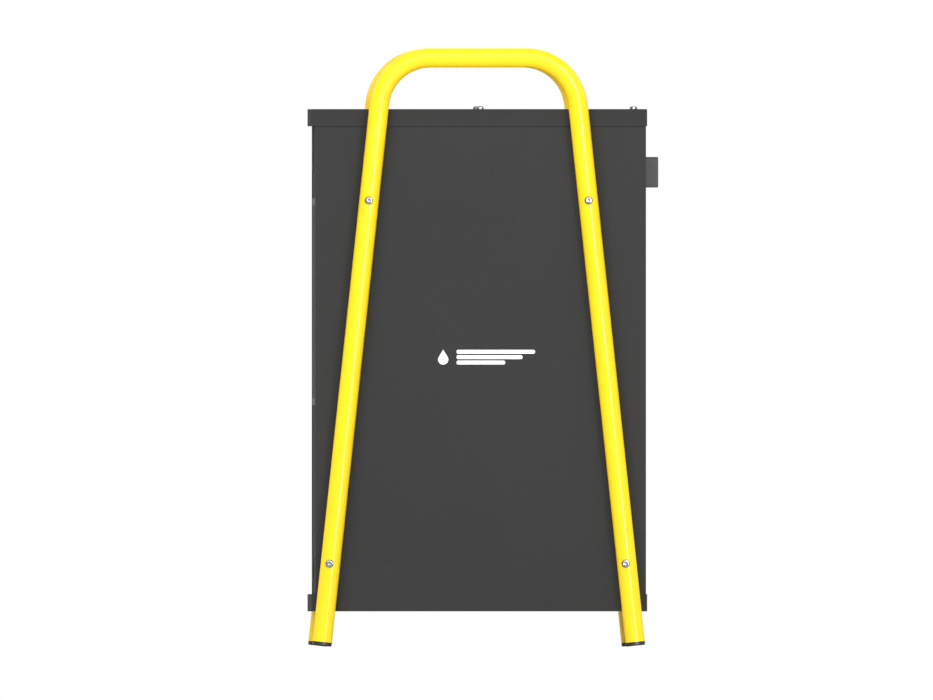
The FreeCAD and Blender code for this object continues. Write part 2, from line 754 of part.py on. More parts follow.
def filter_drier():
    body = rod(Vector(205, 45, 400), Z, 11, 100)
    ends = [e for e in body.Edges if e.Length > 60 and e.BoundBox.ZLength < 1]
    body = body.makeFillet(5, ends)
    inlet = bent_rod([Vector(run_end_x, condenser_y, last_run_z),
                      Vector(205, condenser_y, last_run_z), Vector(205, 45, last_run_z),
                      Vector(205, 45, 495)], 12, discharge_d / 2)
    return join([body, inlet])


def capillary_tube():
    return bent_rod([Vector(205, 45, 400), Vector(205, 45, 380), Vector(213, 60, 372),
                     Vector(213, evaporator_y, 372), Vector(213, evaporator_y, last_run_z),
                     Vector(run_end_x, evaporator_y, last_run_z)], 6, capillary_d / 2)


def discharge_pipe():
    x, y = comp_x + 28, comp_y - 10
    route = [Vector(x, y, comp_top), Vector(x, y, pipe_level),
             Vector(riser_x, y, pipe_level), Vector(riser_x, condenser_y, pipe_level),
             Vector(riser_x, condenser_y, coil_first_z), Vector(run_end_x, condenser_y, coil_first_z)]
    return bent_rod(route, 9.5, discharge_d / 2)


def suction_pipe():
    route = [Vector(run_end_x, evaporator_y, coil_first_z),
             Vector(riser_x, evaporator_y, coil_first_z),
             Vector(riser_x, evaporator_y, pipe_level), Vector(accum_x, evaporator_y, pipe_level),
             Vector(accum_x, accum_y, pipe_level), Vector(accum_x, accum_y, accum_top)]
    return bent_rod(route, 9.5, suction_d / 2)


# ---------------------------------------------------------------- compressor
accum_low, accum_top = 110.0, 240.0
foot_plate_t = 3.0
grommet_top = comp_bottom - foot_plate_t


def stud_points(z):
    return [Vector(comp_x + comp_foot_r * math.cos(math.radians(a)),
                   comp_y + comp_foot_r * math.sin(math.radians(a)), z) for a in (90, 210, 330)]


def compressor():
    body = rod(Vector(comp_x, comp_y, comp_bottom), Z, comp_d / 2, comp_top - comp_bottom)
    rims = [e for e in body.Edges if e.Length > comp_d * 3 and e.BoundBox.ZLength < 1]
    body = body.makeFillet(22, rims)
    corners = stud_points(grommet_top)
    arms = []
    for corner in corners:
        way = (corner - Vector(comp_x, comp_y, grommet_top)).normalize()
        across = Z.cross(way) * 14
        centre = Vector(comp_x, comp_y, grommet_top)
        outline = Part.makePolygon([centre - across, corner - across, corner + across,
                                    centre + across, centre - across])
        arms.append(Part.Face(outline).extrude(Z * (foot_plate_t + 1)))
        arms.append(rod(corner, Z, 14, foot_plate_t + 1))
    terminals = rounded_block(comp_x - 18, comp_x + 18, comp_y - comp_d / 2 - 22, comp_y,
                              comp_top - 90, comp_top - 42, 4.0, Y)
    solid = join([body, terminals] + arms)
    return cut_all(solid, [rod(c - Z * 5, Z, stud_d / 2 + 0.4, 12) for c in corners])


def grommet(place):
    return ring(place, Z, 12, stud_d / 2 + 0.4, grommet_top - pan_floor)


def stud(place):
    low = Vector(place.x, place.y, base_z)
    shank = rod(low, Z, stud_d / 2, grommet_top + foot_plate_t + 14 - base_z)
    nut_z = grommet_top + foot_plate_t + 1
    nut = hexagon(Vector(place.x, place.y, nut_z), Z, 13, 7)
    washer = rod(Vector(place.x, place.y, nut_z), Z, 11, 1.6)
    return join([shank, nut, washer])


def accumulator():
    body = rod(Vector(accum_x, accum_y, accum_low), Z, accum_d / 2, accum_top - accum_low)
    rims = [e for e in body.Edges if e.Length > accum_d * 3 and e.BoundBox.ZLength < 1]
    body = body.makeFillet(12, rims)
    link = bent_rod([Vector(accum_x, accum_y, accum_low + 5), Vector(accum_x, accum_y, 90),
                     Vector(comp_x - 20, comp_y + 30, 90)], 9, 5)
    shell = rod(Vector(comp_x, comp_y, 60), Z, comp_d / 2, 60)
    hollow = rod(Vector(accum_x, accum_y, accum_low + 14), Z, accum_d / 2 - 2.5,
                 accum_top - accum_low - 28)
    return join([body, link]).cut(shell).cut(hollow)


# ---------------------------------------------------------------- water
tank_x0, tank_x1 = tank_mid_x - tank_w / 2, tank_mid_x + tank_w / 2
tank_y0, tank_y1 = -panel_front, -panel_front + tank_depth
tank_top = tank_z + tank_h
pull_z = tank_z + tank_h * 0.66
float_pin_d = 3.0
float_y, float_z = tank_y1 - 22.0, tank_top - 34.0
float_drop = 25.0
ear_x = (-68.0, -52.0)


def water_tank():
    outer = rounded_block(tank_x0, tank_x1, tank_y0, tank_y1, tank_z, tank_top, 8.0, Z)
    inner = rounded_block(tank_x0 + tank_wall, tank_x1 - tank_wall, tank_y0 + tank_wall,
                          tank_y1 - tank_wall, tank_z + tank_wall, tank_top + 1, 5.0, Z)
    half, high = pull_w / 2, pull_h / 2
    bump = block(tank_mid_x - half - tank_wall, tank_mid_x + half + tank_wall, tank_y0 + 1,
                 tank_y0 + pull_depth + tank_wall, pull_z - high - tank_wall,
                 pull_z + high + tank_wall)
    pocket = block(tank_mid_x - half, tank_mid_x + half, tank_y0 - 1, tank_y0 + pull_depth,
                   pull_z - high, pull_z + high)
    ears = [block(x - 1.5, x + 1.5, float_y - 4, tank_y1 - 1, float_z - 6, float_z + 6)
            for x in ear_x]
    pin = rod(Vector(ear_x[0], float_y, float_z), X, float_pin_d / 2, ear_x[1] - ear_x[0])
    return join([outer.cut(inner), bump, pin] + ears).cut(pocket)


def tank_lid():
    plate = rounded_block(tank_x0, tank_x1, tank_y0, tank_y1, tank_top, tank_top + tank_lid_t,
                          8.0, Z)
    skirt = rounded_block(tank_x0 + tank_wall + 0.3, tank_x1 - tank_wall - 0.3,
                          tank_y0 + tank_wall + 0.3, tank_y1 - tank_wall - 0.3,
                          tank_top - 6, tank_top, 4.0, Z)
    skirt = skirt.cut(block(tank_x0 + 8, tank_x1 - 8, tank_y0 + 8, tank_y1 - 8,
                            tank_top - 7, tank_top))
    hole = rod(Vector(spout_x, spout_y - 14, tank_top - 10), Z, fill_hole_d / 2, 20)
    return join([plate, skirt]).cut(hole)


def float_arm():
    pivot = Vector(-60, float_y, float_z)
    hub = rod(pivot - X * 6, X, 5, 12)
    arm = block(-63, -57, float_y - 62, float_y, float_z - 3, float_z + 3)
    bulb = rounded_block(-80, -40, float_y - 110, float_y - 60, float_z - 14, float_z + 14, 5.0, X)
    arm = join([hub, arm, bulb])
    arm = arm.cut(rod(pivot - X * 10, X, float_pin_d / 2 + running_gap, 20))
    arm.rotate(pivot, X, float_drop)
    return arm


def tank_shelf():
    x0, x1 = tank_x0 - 2.0, tank_x1 + 2.0
    top = tank_z - 0.5
    rear = tank_y1 + 8
    plate = block(x0 - sheet, x1 + sheet, front_in, rear, top - sheet, top)
    legs = [block(x, x + sheet, front_in, rear, pan_floor, top) for x in (x0 - sheet, x1)]
    rails = [block(x, x + sheet, front_in, rear, top - sheet, top + 12) for x in (x0 - sheet, x1)]
    stop = block(x0, x1, rear - sheet, rear, top - sheet, top + 12)
    return join([plate, stop] + legs + rails)


def level_switch():
    y0 = tank_y1 + 3
    hanger = block(-70, -50, y0 + 10, y0 + 10 + sheet, float_z - 12, deck_under)
    foot = block(-70, -50, y0 + 10, y0 + 22, deck_under - sheet, deck_under)
    body = block(-68, -52, y0, y0 + 10, float_z - 10, float_z + 10)
    return join([hanger, foot, body])


# ---------------------------------------------------------------- electrics
inlet_x, inlet_z, inlet_w, inlet_h = 140.0, 636.0, 36.0, 60.0
rocker_w, rocker_h, rocker_gap = 12.0, 20.0, 0.5
rocker_z = inlet_z + 14.0
socket_w, socket_h, socket_z, socket_depth = 24.0, 17.0, inlet_z - 14.0, 16.0
rocker_pivot_y = panel_rear - 4.0


def mains_inlet():
    flange = block(inlet_x - inlet_w / 2, inlet_x + inlet_w / 2, rear_face, panel_rear,
                   inlet_z - inlet_h / 2, inlet_z + inlet_h / 2)
    body = block(inlet_x - inlet_w / 2 + 4, inlet_x + inlet_w / 2 - 4, rear_face - 26, rear_face,
                 inlet_z - inlet_h / 2 + 4, inlet_z + inlet_h / 2 - 4)
    recess = rounded_block(inlet_x - socket_w / 2, inlet_x + socket_w / 2,
                           panel_rear - socket_depth, panel_rear + 1,
                           socket_z - socket_h / 2, socket_z + socket_h / 2, 3.0, Y)
    switch_way = block(inlet_x - rocker_w / 2 - rocker_gap, inlet_x + rocker_w / 2 + rocker_gap,
                       panel_rear - 12, panel_rear + 1, rocker_z - rocker_h / 2 - rocker_gap - 0.4,
                       rocker_z + rocker_h / 2 + rocker_gap + 0.4)
    blades = [block(inlet_x + dx - 1, inlet_x + dx + 1, panel_rear - socket_depth - 2,
                    panel_rear - 5, socket_z + dz - 2, socket_z + dz + 2)
              for dx, dz in ((-7, -2), (0, 2), (7, -2))]
    pivot = rod(Vector(inlet_x - rocker_w / 2 - 2, rocker_pivot_y, rocker_z), X, 1.5, rocker_w + 4)
    return join([join([flange, body]).cut(recess).cut(switch_way), pivot] + blades)


def power_rocker():
    """Two-faced rocker, drawn in its off position."""
    x0, x1 = inlet_x - rocker_w / 2, inlet_x + rocker_w / 2
    half, tilt = rocker_h / 2, math.tan(math.radians(rocker_tilt))
    face, back = panel_rear - 0.2, rocker_pivot_y - 3.5
    points = [Vector(x0, back, rocker_z - half + 2), Vector(x0, face - half * tilt, rocker_z - half),
              Vector(x0, face, rocker_z), Vector(x0, face - half * tilt, rocker_z + half),
              Vector(x0, back, rocker_z + half - 2), Vector(x0, back, rocker_z - half + 2)]
    body = Part.Face(Part.makePolygon(points)).extrude(X * (x1 - x0))
    pivot = Vector(x0 - 1, rocker_pivot_y, rocker_z)
    body = body.cut(rod(pivot, X, 1.5 + running_gap, x1 - x0 + 2))
    body.rotate(pivot, X, -rocker_tilt)
    return body


rocker_tilt = 8.0


def run_capacitor():
    can = rod(Vector(-150, -60, shelf_top + 25), X, 22.5, 95)
    can = can.makeFillet(3, [e for e in can.Edges if e.Length > 100 and e.BoundBox.XLength < 1])
    clip = ring(Vector(-112, -60, shelf_top + 25), X, 24, 22.5, 16)
    foot = block(-112, -96, -84, -36, shelf_top, shelf_top + 2.6)
    return join([can, clip, foot])


# ---------------------------------------------------------------- write everything
def main():
    make_frames()
    save("base_pan", base_pan())
    save("left_side_panel", side_panel(-1))
    save("right_side_panel", side_panel(1))
    save("front_panel", front_panel())
    save("rear_panel", rear_panel())
    save("lid", lid())
    save("panel_screws", Part.makeCompound(panel_screw_set(-1) + panel_screw_set(1)))
    save("lid_screws", Part.makeCompound([lid_screw(p) for p in lid_screw_points()]))
    for coil, y in (("condenser", condenser_y), ("evaporator", evaporator_y)):
        save(coil + "_fins", coil_fins(y))
        save(coil + "_end_plates", coil_plates(y))
        save(coil + "_tube", coil_tube(y))
    for name in button_x:
        save(name, button(name))
    save("compressor_grommets", Part.makeCompound([grommet(p) for p in stud_points(pan_floor)]))
    save("compressor_studs", Part.makeCompound([stud(p) for p in stud_points(base_z)]))
    for maker in (top_brace, middle_deck, bay_divider, electrics_shelf, console_housing,
                  display_window, control_board, outlet_grille, intake_grille, filter_frame,
                  filter_mesh, filter_guides, fan_shroud, fan_rotor, fan_motor, motor_bracket,
                  drip_tray, drain_hose, drain_port, filter_drier, capillary_tube,
                  discharge_pipe, suction_pipe, compressor, accumulator, water_tank, tank_lid,
                  float_arm, tank_shelf, level_switch, mains_inlet, power_rocker, run_capacitor):
        save(maker.__name__, maker())


main()
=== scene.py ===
import functools
import json
import math

import bmesh
import bpy
from bpy.props import FloatProperty, FloatVectorProperty, IntProperty, PointerProperty
from mathutils import Matrix, Vector

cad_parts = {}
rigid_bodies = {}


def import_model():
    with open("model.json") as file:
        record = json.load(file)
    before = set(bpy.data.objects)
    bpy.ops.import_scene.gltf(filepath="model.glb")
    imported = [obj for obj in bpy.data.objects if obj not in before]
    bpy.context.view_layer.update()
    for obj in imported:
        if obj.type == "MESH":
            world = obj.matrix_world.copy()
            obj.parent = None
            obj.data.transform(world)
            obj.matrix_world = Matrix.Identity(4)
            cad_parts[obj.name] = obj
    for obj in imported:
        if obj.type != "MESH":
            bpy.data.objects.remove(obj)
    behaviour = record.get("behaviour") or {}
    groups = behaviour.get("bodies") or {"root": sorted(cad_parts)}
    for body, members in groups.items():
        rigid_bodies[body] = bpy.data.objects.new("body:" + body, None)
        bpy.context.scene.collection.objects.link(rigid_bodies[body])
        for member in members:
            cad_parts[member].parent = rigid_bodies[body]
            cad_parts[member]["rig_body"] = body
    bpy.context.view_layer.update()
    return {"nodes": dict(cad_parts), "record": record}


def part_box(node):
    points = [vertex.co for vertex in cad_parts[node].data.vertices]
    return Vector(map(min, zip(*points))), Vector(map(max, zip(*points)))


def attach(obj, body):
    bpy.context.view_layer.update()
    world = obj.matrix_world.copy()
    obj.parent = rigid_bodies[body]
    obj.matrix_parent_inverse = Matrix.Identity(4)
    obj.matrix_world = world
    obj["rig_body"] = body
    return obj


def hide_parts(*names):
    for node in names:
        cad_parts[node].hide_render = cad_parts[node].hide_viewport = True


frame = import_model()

bl_info = {
    "name": "Dehumidifier Surfaces",
    "version": (1, 0, 0),
    "blender": (4, 5, 0),
    "location": "3D View > Sidebar > Dehumidifier",
    "description": "Builds a tube-framed dehumidifier's visible surfaces round its solid model",
    "category": "Object",
}

SLOT_OF = {part["node"]: part["material_slot"] for part in frame["record"]["subparts"]}
MM = 0.001
SHEET = 1.2 * MM
FLAT_ANGLE = 0.4
RIGHT, LEFT, UP = (1, 0, 0), (-1, 0, 0), (0, 0, 1)
ON_END = (0, math.pi / 2, 0)
BUTTONS = ("power_button", "mode_button", "speed_button", "down_button", "up_button")


# ---- sizes and colours
def colour(name, value, description):
    return FloatVectorProperty(name=name, subtype="COLOR", size=3, min=0.0, max=1.0,
                               default=value, description=description)


def length(name, value, description):
    return FloatProperty(name=name, unit="LENGTH", subtype="DISTANCE", default=value, min=0.0,
                         precision=4, description=description)


def angle(name, degrees, description):
    return FloatProperty(name=name, unit="ROTATION", subtype="ANGLE",
                         default=math.radians(degrees), description=description)


def number(name, value, lowest, description):
    return IntProperty(name=name, default=value, min=lowest, description=description)


def strength(name, value, description):
    return FloatProperty(name=name, default=value, min=0.0, description=description)


class FrameSizes(bpy.types.PropertyGroup):
    """Sizes of the two bent tube frames."""

    tube_diameter: length("Tube diameter", 0.025, "Outside diameter of the frame tube")
    bend_radius: length("Bend radius", 0.066, "Radius of the two top bends, at the tube's middle")
    foot_spread: length("Foot spread", 0.4, "Distance between the leg axes at the floor")
    leg_lean: angle("Leg lean", 6.06, "Lean of a leg from upright")
    tube_sides: number("Tube sides", 64, 12, "Flat sides that make up the round tube")
    bend_steps: number("Bend steps", 28, 4, "Straight pieces that make up one bend")
    bolt_head: length("Bolt head", 0.0105, "Diameter of a frame bolt's head")
    bolt_height: length("Bolt head height", 0.0033, "Height of a frame bolt's head")
    bolt_socket: length("Bolt socket", 0.004, "Hexagon socket across its flats")
    upper_bolt_out: length("Upper bolts out", 0.0004, "Upper bolts off the leg axes, outwards")
    lower_bolt_back: length("Lower bolts back", 0.0016, "Lower bolts off the leg axes, rearwards")


class CabinetSizes(bpy.types.PropertyGroup):
    """Sizes of the cabinet's edges, screws and mark."""

    sheet_round: length("Sheet edge round", 0.0005, "Rounding of cut and folded sheet edges")
    pan_head: length("Lid screw head", 0.0095, "Diameter of a lid screw's head")
    pan_height: length("Lid screw head height", 0.0037, "Height of a lid screw's head")
    flat_head: length("Panel screw head", 0.0075, "Diameter of a panel screw's flush head")
    middle_screw: length("Middle panel screw", 0.365, "Height of the middle panel screws")
    mark_height: length("Mark height", 0.3689, "Height of the printed mark's middle")
    mark_size: length("Mark size", 0.019, "Height of the printed droplet")
    print_thickness: length("Print thickness", 0.00012, "Thickness of a printed sign")


class MouldedSizes(bpy.types.PropertyGroup):
    """Sizes of the moulded parts, the grilles and the filter."""

    edge_round: length("Edge round", 0.0006, "Rounding of large moulded edges")
    small_round: length("Small edge round", 0.0003, "Rounding of small moulded edges")
    grille_flange: length("Grille flange", 0.007, "Width of a grille's rim over the panel")
    slat_count: number("Outlet slats", 10, 2, "Number of slats in the air outlet")
    slat_width: length("Slat width", 0.014, "Width of an outlet slat")
    slat_tip: angle("Slat tip", 28, "Tip of an outlet slat")
    bar_count: number("Intake bars", 29, 2, "Number of bars in the air intake")
    bar_thickness: length("Intake bar thickness", 0.0028, "Thickness of an intake bar")
    wire_pitch: length("Thread pitch", 0.0030, "Distance between the filter's threads")
    wire_thickness: length("Thread thickness", 0.0005, "Thickness of a filter thread")
    fin_pitch: length("Fin pitch", 0.0019, "Distance from one coil fin to the next")
    fin_thickness: length("Fin thickness", 0.0003, "Thickness of a coil fin")
    blade_count: number("Fan blades", 5, 2, "Number of blades")
    hub_diameter: length("Fan hub", 0.070, "Diameter of the fan's hub")
    hub_depth: length("Fan hub depth", 0.030, "Depth of the fan's hub")
    shaft_diameter: length("Fan shaft", 0.008, "Diameter of the fan's shaft")
    sign_height: length("Sign height", 0.0052, "Height of the signs printed on the console")
    digit_height: length("Digit height", 0.013, "Height of the display's digits")


class FinishColours(bpy.types.PropertyGroup):
    """Colours of the visible finishes."""

    frame_yellow: colour("Frame yellow", (0.95, 0.635, 0.012), "Gloss coat of the tube frames")
    cabinet_grey: colour("Cabinet grey", (0.0318, 0.0318, 0.0322), "Satin coat of the cabinet")
    console_grey: colour("Console grey", (0.089, 0.089, 0.089), "Moulded console housing")
    key_grey: colour("Key grey", (0.46, 0.47, 0.49), "Push-button caps")
    moulded_black: colour("Moulded black", (0.012, 0.012, 0.013), "Foot plugs and spacers")
    zinc: colour("Bright zinc", (0.25, 0.25, 0.285), "Plated bolts and screws")
    sheet_metal: colour("Galvanised", (0.46, 0.47, 0.48), "Bare inner sheet metal")
    copper: colour("Copper", (0.75, 0.32, 0.17), "Refrigerant tubes")
    fin_metal: colour("Fin foil", (0.80, 0.81, 0.83), "Coil fins")
    mark_white: colour("Mark white", (0.92, 0.92, 0.92), "Printed droplet mark and key signs")
    floor: colour("Floor", (0.85, 0.85, 0.84), "Plain studio floor")


class StageSettings(bpy.types.PropertyGroup):
    """Light and camera of the studio."""

    lamp_strength: strength("Lamps", 1.0, "Strength of all five lamps together")
    fill_strength: strength("Room light", 0.55, "Strength of the even light all round")
    floor_radius: length("Floor radius", 2.4, "Radius of the pale floor")
    view_width: length("View width", 1.1888, "Width of the picture at the object")
    middle_y: length("View middle", 0.02155, "Where the picture's middle lies, front to back")
    middle_z: length("View height", 0.378, "Height of the picture's middle")
    yaw: angle("Camera yaw", 0.62, "Turn away from a square side view")


def sizes():
    return bpy.context.scene.frame_sizes


def cabinet():
    return bpy.context.scene.cabinet_sizes


def moulding():
    return bpy.context.scene.moulded_sizes


def colours():
    return bpy.context.scene.finish_colours


def studio():
    return bpy.context.scene.stage_settings


# ---- node graphs
class Graph:
    """A node tree, and a short way to add nodes to it."""

    def __init__(self, tree):
        self.nodes = tree.nodes
        self.links = tree.links

    def add(self, kind, inputs=None, **settings):
        node = self.nodes.new(kind)
        for key, value in settings.items():
            setattr(node, key, value)
        for key, value in (inputs or {}).items():
            self.feed(node.inputs[key], value)
        return node

    def feed(self, socket, value):
        """Links a value that another node gives, and sets any other on the socket itself."""
        if isinstance(value, bpy.types.NodeSocket):
            self.links.new(value, socket)
        else:
            socket.default_value = value


# ---- materials
NOISE_LOW, NOISE_HIGH = 0.3, 0.7


class Shader(Graph):
    """A material with one Principled shader."""

    def __init__(self, name):
        self.material = bpy.data.materials.new(name)
        self.material.use_nodes = True
        super().__init__(self.material.node_tree)
        self.surface = self.nodes["Principled BSDF"]
        self.place = self.add("ShaderNodeTexCoord").outputs["Object"]

    def set(self, **values):
        for key, value in values.items():
            self.feed(self.surface.inputs[key.replace("_", " ")], value)

    def noise(self, scale, detail=3.0, stretch=None):
        place = self.place
        if stretch:
            place = self.add("ShaderNodeMapping", {"Vector": place, "Scale": stretch}).outputs[0]
        return self.add("ShaderNodeTexNoise", {"Vector": place, "Scale": scale,
                                               "Detail": detail}).outputs["Fac"]

    def spread(self, fac, low, high):
        """A number that wanders between low and high with a noise."""
        return self.ranged(fac, NOISE_LOW, NOISE_HIGH, low, high)

    def ranged(self, value, from_low, from_high, to_low, to_high):
        return self.add("ShaderNodeMapRange", {
            "Value": value, "From Min": from_low, "From Max": from_high, "To Min": to_low,
            "To Max": to_high}).outputs[0]

    def tones(self, fac, colour_value, change):
        """The colour, a little darker and lighter along a noise."""
        dark = [c * (1 - change) for c in colour_value] + [1]
        light = [min(1, c * (1 + change)) for c in colour_value] + [1]
        return self.blend(self.spread(fac, 0, 1), dark, light)

    def painted_edge_highlight(self, base, tint, low, high, amount):
        """Painted edge highlight: blends in a tint where the surface is sharply convex."""
        edge = self.add("ShaderNodeNewGeometry").outputs["Pointiness"]
        return self.blend(self.ranged(edge, low, high, 0.0, amount), base, tuple(tint) + (1,))

    def blend(self, share, first, second):
        return self.add("ShaderNodeMix", {0: share, 6: first, 7: second},
                        data_type="RGBA").outputs[2]

    def bump(self, height, distance, strength):
        node = self.add("ShaderNodeBump", {"Height": height, "Distance": distance,
                                           "Strength": strength})
        self.links.new(node.outputs[0], self.surface.inputs["Normal"])


@functools.cache
def material(name):
    """The named finish, made the first time it is asked for."""
    return FINISHES[name](name)


def gloss_powder_coat(name):
    """Yellow powder coat: gloss, with a faint orange-peel skin."""
    s = Shader(name)
    base = s.tones(s.noise(9.0, 2.0), colours().frame_yellow, 0.03)
    # painted edge highlight: a lighter yellow on sharply convex edges
    s.set(Base_Color=s.painted_edge_highlight(base, (0.96, 0.70, 0.05), 0.53, 0.60, 0.25), Specular_IOR_Level=0.12,
          Roughness=s.spread(s.noise(60.0), 0.28, 0.34), Coat_Weight=0.18, Coat_Roughness=0.07)
    s.bump(s.noise(520.0, 1.0), 0.00004, 0.5)
    return s.material


def satin_powder_coat(name):
    """Dark grey powder coat on sheet metal, with a fine sand texture."""
    s = Shader(name)
    base = s.tones(s.noise(5.0, 2.0), colours().cabinet_grey, 0.035)
    # painted edge highlight: a lighter grey on sharply convex edges
    s.set(Base_Color=s.painted_edge_highlight(base, (0.052, 0.052, 0.054), 0.52, 0.60, 0.5),
          Roughness=s.spread(s.noise(90.0), 0.64, 0.72), Specular_IOR_Level=0.05)
    grain = s.add("ShaderNodeMix", {0: 0.4, 2: s.noise(1400.0, 2.0), 3: s.noise(500.0, 1.0)})
    s.bump(grain.outputs[0], 0.00005, 0.55)
    return s.material


def moulded(name, tone, roughness, grain, depth=0.00004, specular=0.45):
    """Moulded plastic with a spark-eroded skin."""
    s = Shader(name)
    s.set(Base_Color=s.tones(s.noise(30.0), tone, 0.06), Specular_IOR_Level=specular,
          Roughness=s.spread(s.noise(120.0), roughness - 0.05, roughness + 0.05))
    cells = s.add("ShaderNodeTexVoronoi", {"Vector": s.place, "Scale": grain}).outputs["Distance"]
    s.bump(cells, depth, 0.5)
    return s.material


def plated(name, tone, roughness, stretch=(1, 1, 1)):
    """Metal with fine drawn or brushed marks."""
    s = Shader(name)
    s.set(Base_Color=s.tones(s.noise(50.0), tone, 0.08), Metallic=1.0,
          Roughness=s.spread(s.noise(300.0, 3.0, stretch), roughness - 0.06, roughness + 0.08))
    s.bump(s.noise(600.0, 2.0, stretch), 0.00002, 0.4)
    return s.material


def spangled(name):
    """Galvanised sheet with a faint crystal spangle."""
    s = Shader(name)
    cells = s.add("ShaderNodeTexVoronoi", {"Vector": s.place, "Scale": 110.0}).outputs["Color"]
    grey = s.add("ShaderNodeRGBToBW", {"Color": cells}).outputs[0]
    s.set(Base_Color=s.tones(grey, colours().sheet_metal, 0.12), Metallic=0.85,
          Roughness=s.spread(grey, 0.38, 0.5))
    return s.material


def smoked_window(name):
    s = Shader(name)
    s.set(Base_Color=s.tones(s.noise(40.0), (0.006, 0.009, 0.010), 0.2),
          Roughness=s.spread(s.noise(25.0), 0.05, 0.09), Coat_Weight=0.5, Coat_Roughness=0.04)
    return s.material


def lit_segment(name):
    s = Shader(name)
    glow = s.tones(s.noise(400.0), (0.10, 0.85, 0.55), 0.1)
    s.set(Base_Color=glow, Emission_Color=glow, Emission_Strength=1.1, Roughness=0.4)
    return s.material


def white_print(name):
    s = Shader(name)
    s.set(Base_Color=s.tones(s.noise(200.0), colours().mark_white, 0.04),
          Roughness=s.spread(s.noise(150.0), 0.38, 0.5))
    s.bump(s.noise(900.0, 2.0), 0.00002, 0.4)
    return s.material


def woven_thread(name):
    s = Shader(name)
    s.set(Base_Color=s.tones(s.noise(700.0, 2.0), (0.06, 0.06, 0.065), 0.3),
          Roughness=s.spread(s.noise(300.0), 0.75, 0.9), Sheen_Weight=0.15)
    s.bump(s.noise(2200.0, 2.0), 0.00008, 0.6)
    return s.material


def circuit_laminate(name):
    s = Shader(name)
    tracks = s.add("ShaderNodeTexBrick", {
        "Vector": s.place, "Scale": 120.0, "Color1": (0.010, 0.110, 0.045, 1),
        "Color2": (0.014, 0.150, 0.060, 1), "Mortar": (0.05, 0.26, 0.10, 1), "Mortar Size": 0.03})
    s.set(Base_Color=tracks.outputs["Color"], Roughness=s.spread(s.noise(80.0), 0.3, 0.42))
    return s.material


def pale_floor(name):
    s = Shader(name)
    s.set(Base_Color=s.tones(s.noise(1.5, 2.0), colours().floor, 0.012),
          Roughness=s.spread(s.noise(4.0), 0.6, 0.7))
    return s.material


FINISHES = {
    "frame_paint": gloss_powder_coat,
    "cabinet_paint": satin_powder_coat,
    "console_plastic": lambda n: moulded(n, colours().console_grey, 0.6, 700.0, specular=0.2),
    "key_plastic": lambda n: moulded(n, colours().key_grey, 0.42, 1100.0, 0.00002),
    "foot_plastic": lambda n: moulded(n, colours().moulded_black, 0.42, 600.0),
    "black_plastic": lambda n: moulded(n, (0.018, 0.018, 0.019), 0.48, 800.0),
    "tank_plastic": lambda n: moulded(n, (0.05, 0.05, 0.052), 0.45, 650.0),
    "clear_plastic": lambda n: moulded(n, (0.72, 0.74, 0.75), 0.35, 500.0),
    "rubber": lambda n: moulded(n, (0.02, 0.02, 0.02), 0.75, 400.0, 0.00008),
    "hose": lambda n: moulded(n, (0.42, 0.44, 0.44), 0.3, 300.0),
    "compressor_paint": lambda n: moulded(n, (0.008, 0.008, 0.009), 0.22, 200.0, 0.00002),
    "zinc_steel": lambda n: plated(n, colours().zinc, 0.16),
    "copper": lambda n: plated(n, colours().copper, 0.26, (0.1, 1, 1)),
    "fin_aluminium": lambda n: plated(n, colours().fin_metal, 0.34, (1, 1, 0.1)),
    "plain_steel": spangled,
    "window": smoked_window,
    "display_light": lit_segment,
    "white_print": white_print,
    "mesh": woven_thread,
    "board": circuit_laminate,
    "floor": pale_floor,
}


# ---- meshes
def mesh_object(name, mesh):
    piece = bpy.data.objects.new(name, mesh)
    bpy.context.scene.collection.objects.link(piece)
    return piece


def mesh_from(name, work):
    mesh = bpy.data.meshes.new(name)
    work.to_mesh(mesh)
    work.free()
    return mesh


def from_bmesh(name, work):
    return mesh_object(name, mesh_from(name, work))


def join_rings(work, rings):
    """Faces between each ring of corners and the next; a ring closes on itself."""
    for low, high in zip(rings, rings[1:]):
        for i in range(len(low)):
            j = (i + 1) % len(low)
            work.faces.new((low[i], low[j], high[j], high[i]))


def plain(piece):
    """Puts the result of a piece's modifiers in place of its mesh, and takes them off."""
    graph = bpy.context.evaluated_depsgraph_get()
    mesh = bpy.data.meshes.new_from_object(piece.evaluated_get(graph), depsgraph=graph)
    piece.modifiers.clear()
    piece.data = mesh
    return piece


def creased(piece, angle=35.0):
    """Smooth shading that breaks at edges sharper than an angle."""
    piece.data.shade_smooth()
    piece.data.set_sharp_from_angle(angle=math.radians(angle))
    return piece


def rounded(piece, width):
    """Rounds a piece's sharp edges and keeps its flat faces flat."""
    piece.data.shade_smooth()
    bevel = piece.modifiers.new("Round", "BEVEL")
    bevel.width = width
    bevel.segments = 2
    bevel.limit_method = "ANGLE"
    bevel.angle_limit = math.radians(30.0)
    bevel.use_clamp_overlap = False
    piece.modifiers.new("Flats", "WEIGHTED_NORMAL").weight = 100
    return plain(piece)


def copy_of(node):
    """A node's own shape as one joined mesh, with the flat faces whole."""
    work = bmesh.new()
    work.from_mesh(frame["nodes"][node].data)
    bmesh.ops.remove_doubles(work, verts=work.verts, dist=0.002 * MM)
    bmesh.ops.dissolve_limit(work, angle_limit=math.radians(FLAT_ANGLE), verts=work.verts,
                             edges=work.edges, use_dissolve_boundaries=False)
    return from_bmesh(node + "_surface", work)


def middle_of(node):
    low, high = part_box(node)
    return (low + high) / 2


def coat(piece, finish):
    piece.data.materials.clear()
    piece.data.materials.append(material(finish))
    return piece


def hang(piece, body, slot, *nodes):
    """Hangs a finished piece on its body and hides the nodes it stands for; the slot is not used.
    """
    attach(piece, body)
    if nodes:
        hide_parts(*nodes)


def softened(node, width):
    """Stands in for a node with its edges rounded."""
    piece = coat(rounded(copy_of(node), width), SLOT_OF[node])
    hang(piece, frame["nodes"][node]["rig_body"], SLOT_OF[node], node)


